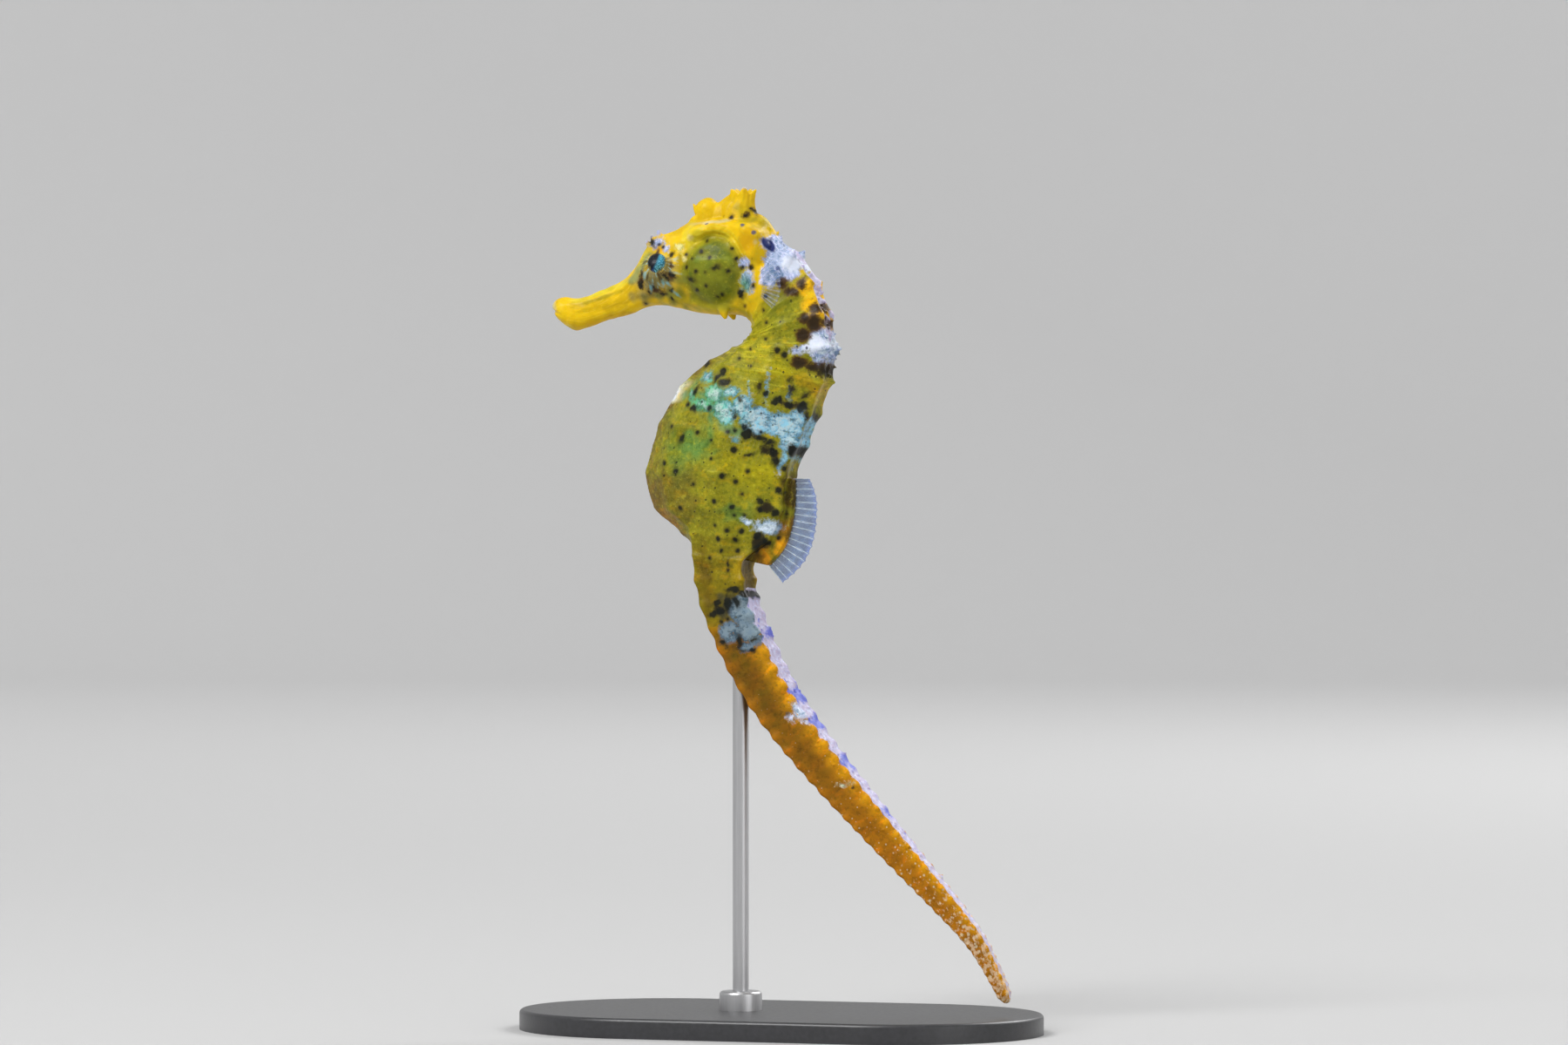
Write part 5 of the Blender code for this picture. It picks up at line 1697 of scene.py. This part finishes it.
def fan(name, roots, tips, waves, looks, notch, radius):
    """A thin fin between root and tip points: a rippled membrane, and a tapered ray at each."""
    points, half, between, reach = fan_surface(roots, tips, waves, notch)
    shapes = Shapes()
    shapes.rows(np.concatenate([points + half, (points - half)[:, ::-1]], axis=1))
    membrane_count = shapes.count
    steps = range(0, STEPS_ALONG_RAYS, 2)
    thick = [radius * (1 - RAY_TAPER * i / STEPS_ALONG_RAYS) for i in steps]
    for line in points[::STEPS_BETWEEN_RAYS]:
        shapes.tube([(tuple(line[i]), r) for i, r in zip(steps, thick)], sides=8)
    shares = np.concatenate([reach, reach[::-1]])
    on_rays = shapes.count - membrane_count
    ray_share = np.concatenate([np.tile(shares, len(between)), np.ones(on_rays)])
    between_rays = np.concatenate([np.repeat(between, len(shares)), np.zeros(on_rays)])
    fin = new_object(name, shapes.mesh(name))
    set_values(fin.data, "ray_share", ray_share)
    set_values(fin.data, "between_rays", between_rays)
    for look in looks:
        fin.data.materials.append(look)
    for face in fin.data.polygons:
        face.material_index = int(face.vertices[0] >= membrane_count)
    in_metres(fin)
    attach(fin, "root")
    return fin


def build_dorsal_fin(looks):
    shares = np.linspace(0, 1, DORSAL_FIN_RAYS)
    root = along(DORSAL_FIN_ROOT, shares)
    droop = np.radians(-DORSAL_FIN_DROOP * shares**2)
    length = along(DORSAL_FIN_LENGTHS, shares)
    way = np.stack([np.cos(droop), np.sin(droop)], 1)
    tip = root + way * length[:, None]
    root = root - way * 0.6
    flat = np.zeros(DORSAL_FIN_RAYS)
    roots = np.stack([root[:, 0], flat, root[:, 1]], 1)
    tips = np.stack([tip[:, 0], flat, tip[:, 1]], 1)
    fin = fan("dorsal_fin_fan", roots, tips, 0.22, looks, 0.045, RAY_RADIUS)
    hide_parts("dorsal_fin")


def build_pectoral_fins(looks):
    x, y, z = PECTORAL_ROOT_TOP
    flare = math.radians(PECTORAL_FLARE)
    shares = np.linspace(0, 1, 12)
    rise = np.radians(PECTORAL_SPREAD * (1 - 2 * shares))
    length = PECTORAL_REACH + PECTORAL_CROWN * np.sin(math.pi * shares)
    for name, side in SIDES:
        roots = np.stack([x + 0 * shares, y * side + 0 * shares, z - PECTORAL_ROOT_HEIGHT * shares], 1)
        way = np.stack([np.cos(rise) * math.cos(flare), 0 * rise + math.sin(flare) * side, np.sin(rise)], 1)
        tips = roots + way * length[:, None]
        fin = fan(f"{name}_pectoral_fan", roots, tips, 0.1, looks, 0.04, 0.04)
        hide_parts(f"{name}_pectoral_fin")


# ---------------------------------------------------------------- the stand

BASE_LENGTH = 80.0
BASE_WIDTH = 44.0
BASE_THICKNESS = 3.0
BASE_EDGE = 0.6
COLLAR_RADIUS = 3.2
COLLAR_EDGE = 0.6
ROD_INTO_TAIL = 0.9
STAND_SIDES = 240
SHARP_ANGLE = 40.0
STEEL_GREYS = ((0.5, 0.5, 0.51), (0.58, 0.58, 0.59))
BASE_BLACKS = ((0.018, 0.018, 0.02), (0.03, 0.03, 0.034))


def steel_look():
    look = Look("brushed_steel", roughness=0.28, metallic=1.0)
    place = look.position()
    brushed = look.noise(look.stretched(place, (6.0, 6.0, 0.15)), 1.0, 3.0)
    look.set("Base Color", look.mix(look.step(brushed, -0.3, 0.3), *STEEL_GREYS))
    look.set("Roughness", look.add(0.34, look.times(brushed, 0.1)))
    look.set("Normal", look.bump(brushed, 0.01))
    return look.material


def base_look():
    look = Look("satin_black_base", roughness=0.4)
    place = look.position()
    orange_peel = look.noise(place, 1.4, 3.0)
    look.set("Base Color", look.mix(look.step(orange_peel, -0.3, 0.3), *BASE_BLACKS))
    look.set("Roughness", look.add(0.42, look.times(orange_peel, 0.15)))
    look.set("Normal", look.bump(orange_peel, 0.03))
    look.set("Coat Weight", 0.3)
    look.set("Coat Roughness", 0.3)
    return look.material


def rounded_edge(radius, top, edge, steps=8):
    """(radius, height) levels round an upper edge, from the side to a little way in on the top."""
    turns = np.linspace(0, math.pi / 2, steps)
    levels = [(radius - edge * (1 - math.cos(a)), top - edge * (1 - math.sin(a))) for a in turns]
    return [*levels, (radius - edge - 0.3, top)]


def build_upright(name, node, look, levels, middle=ROD_X, straight=0.0):
    """A piece through (radius, height) levels, whose half rounds stand this far from its middle."""
    angles = (np.arange(STAND_SIDES) + 0.5) * 2 * math.pi / STAND_SIDES
    across, sideways = np.cos(angles), np.sin(angles)
    shift = middle + np.sign(across) * straight
    shapes = Shapes()
    shapes.rows([np.stack([shift + r * across, r * sideways, 0 * angles + h], 1) for r, h in levels])
    piece = in_metres(new_object(name, shapes.mesh(name)))
    piece.data.set_sharp_from_angle(angle=math.radians(SHARP_ANGLE))
    piece.data.materials.append(look)
    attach(piece, "root")
    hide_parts(node)


def build_stand():
    """The base, the collar on it, and the rod, which reaches into the tail that it holds."""
    steel, black = steel_look(), base_look()
    end = BASE_WIDTH / 2
    levels = [(end, 0.0), *rounded_edge(end, BASE_THICKNESS, BASE_EDGE)]
    build_upright("display_base", "stand_base", black, levels, 0.0, BASE_LENGTH / 2 - end)
    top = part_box("stand_collar")[1].z / MM
    levels = [(COLLAR_RADIUS, BASE_THICKNESS), *rounded_edge(COLLAR_RADIUS, top, COLLAR_EDGE)]
    build_upright("rod_collar", "stand_collar", steel, levels)
    low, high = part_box("stand_rod")
    levels = [(ROD_RADIUS, low.z / MM), (ROD_RADIUS, high.z / MM + ROD_INTO_TAIL)]
    build_upright("support_rod", "stand_rod", steel, levels)


# ---------------------------------------------------------------- the stage

# The stage is made in metres.
STAGE_RADIUS = 2.2
STAGE_COVE = 0.9
STAGE_HEIGHT = 3.4
STAGE_SIDES = 96
COVE_STEPS = 16
FLOOR_SHADE_GREY = (0.5, 0.5, 0.5)
WALL_WHITE = (0.93, 0.93, 0.93)
WORLD_STRENGTH = 0.38
CAMERA_AZIMUTH = 18.0
CAMERA_DISTANCE = 1.0
CAMERA_TARGET = (0.0006, 0.0, 0.0759)
CAMERA_LENS = 153.9
# name, azimuth, elevation and distance of the lamp, its size, its power in watts
LAMPS = (
    ("key", -26.0, 46.0, 1.6, 0.7, 21.0),
    ("fill", 62.0, 12.0, 1.7, 1.0, 4.0),
    ("rim", 150.0, 38.0, 1.6, 0.7, 14.0),
    ("top", 10.0, 86.0, 1.6, 0.8, 2.0),
)


def from_camera_side(azimuth, elevation, distance):
    """A point about the target, at an azimuth from the front, an elevation and a distance."""
    a, e = math.radians(azimuth), math.radians(elevation)
    way = Vector((math.sin(a) * math.cos(e), -math.cos(a) * math.cos(e), math.sin(e)))
    return Vector(CAMERA_TARGET) + way * distance


def aim(target, place):
    target.location = place
    target.rotation_euler = (Vector(CAMERA_TARGET) - place).to_track_quat("-Z", "Y").to_euler()


def build_floor():
    """A round pale floor, painted darker in the middle as shade that evens out the lamps' pool of light,
    whose rim curves up into a wall, so that no horizon shows.
    """
    profile = [(0.02, 0.0), (STAGE_RADIUS, 0.0)]
    for k in range(1, COVE_STEPS + 1):
        angle = math.pi / 2 * k / COVE_STEPS
        reach = STAGE_RADIUS + STAGE_COVE * math.sin(angle)
        profile.append((reach, STAGE_COVE * (1 - math.cos(angle))))
    profile.append((STAGE_RADIUS + STAGE_COVE, STAGE_HEIGHT))
    turns = [2 * math.pi * k / STAGE_SIDES for k in range(STAGE_SIDES)]
    points = [(r * math.cos(turn), r * math.sin(turn), z) for r, z in profile for turn in turns]
    faces = [tuple(range(STAGE_SIDES))[::-1]]
    for level in range(len(profile) - 1):
        for k in range(STAGE_SIDES):
            low, after = level * STAGE_SIDES + k, level * STAGE_SIDES + (k + 1) % STAGE_SIDES
            faces.append((low, after, after + STAGE_SIDES, low + STAGE_SIDES))
    mesh = bpy.data.meshes.new("studio_floor")
    mesh.from_pydata(points, [], faces)
    mesh.shade_smooth()
    look = Look("studio_paper", roughness=0.85)
    outwards = look.node("ShaderNodeVectorMath", operation="LENGTH")
    look.put(outwards.inputs[0], look.position())
    # Darker in the middle, a painted shade that evens out the lamps' pool of light round the model.
    far = look.step(outwards.outputs["Value"], 300.0, 2300.0)
    look.set("Base Color", look.mix(far, FLOOR_SHADE_GREY, WALL_WHITE))
    mesh.materials.append(look.material)
    new_object("studio_floor", mesh)


def build_lights():
    for name, azimuth, elevation, distance, size, power in LAMPS:
        light = bpy.data.lights.new(name, "AREA")
        light.energy = power
        light.size = size
        lamp = bpy.data.objects.new(name, light)
        bpy.context.scene.collection.objects.link(lamp)
        aim(lamp, from_camera_side(azimuth, elevation, distance))
    world = bpy.data.worlds.new("studio")
    bpy.context.scene.world = world
    world.use_nodes = True
    world.node_tree.nodes["Background"].inputs["Color"].default_value = (1, 1, 1, 1)
    world.node_tree.nodes["Background"].inputs["Strength"].default_value = WORLD_STRENGTH


def build_camera():
    camera = bpy.data.objects.new("camera", bpy.data.cameras.new("camera"))
    bpy.context.scene.collection.objects.link(camera)
    camera.data.lens = CAMERA_LENS
    camera.data.sensor_width = 36.0
    camera.data.clip_start = 0.01
    camera.data.clip_end = 20.0
    aim(camera, from_camera_side(CAMERA_AZIMUTH, 0.0, CAMERA_DISTANCE))
    bpy.context.scene.camera = camera
    bpy.context.scene.view_settings.view_transform = "Standard"


# ---------------------------------------------------------------- the whole


def build_skin():
    body = Body()
    skin = remeshed_skin(body)
    for field, values in skin_fields(Skin(skin.data, body)).items():
        set_values(skin.data, field, values)
    skin.data.materials.clear()
    skin.data.materials.append(SkinLook().finish())
    in_metres(skin)
    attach(skin, "root")
    tail = [f"tail_{k}" for k in range(1, 7)]
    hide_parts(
        "snout", "head", "coronet", "neck", "trunk_upper", "trunk_lower", "dorsal_fin_base", *tail
    )


def main():
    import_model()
    noise.seed_set(NOISE_SEED)
    build_camera()
    build_skin()
    build_eyes()
    build_dorsal_fin([membrane_look("dorsal_fin_membrane", 0.55), ray_look("dorsal_fin_rays", 0.9)])
    build_pectoral_fins([membrane_look("pectoral_fin_membrane", 0.08), ray_look("pectoral_fin_rays", 0.2)])
    build_stand()
    build_floor()
    build_lights()


main()
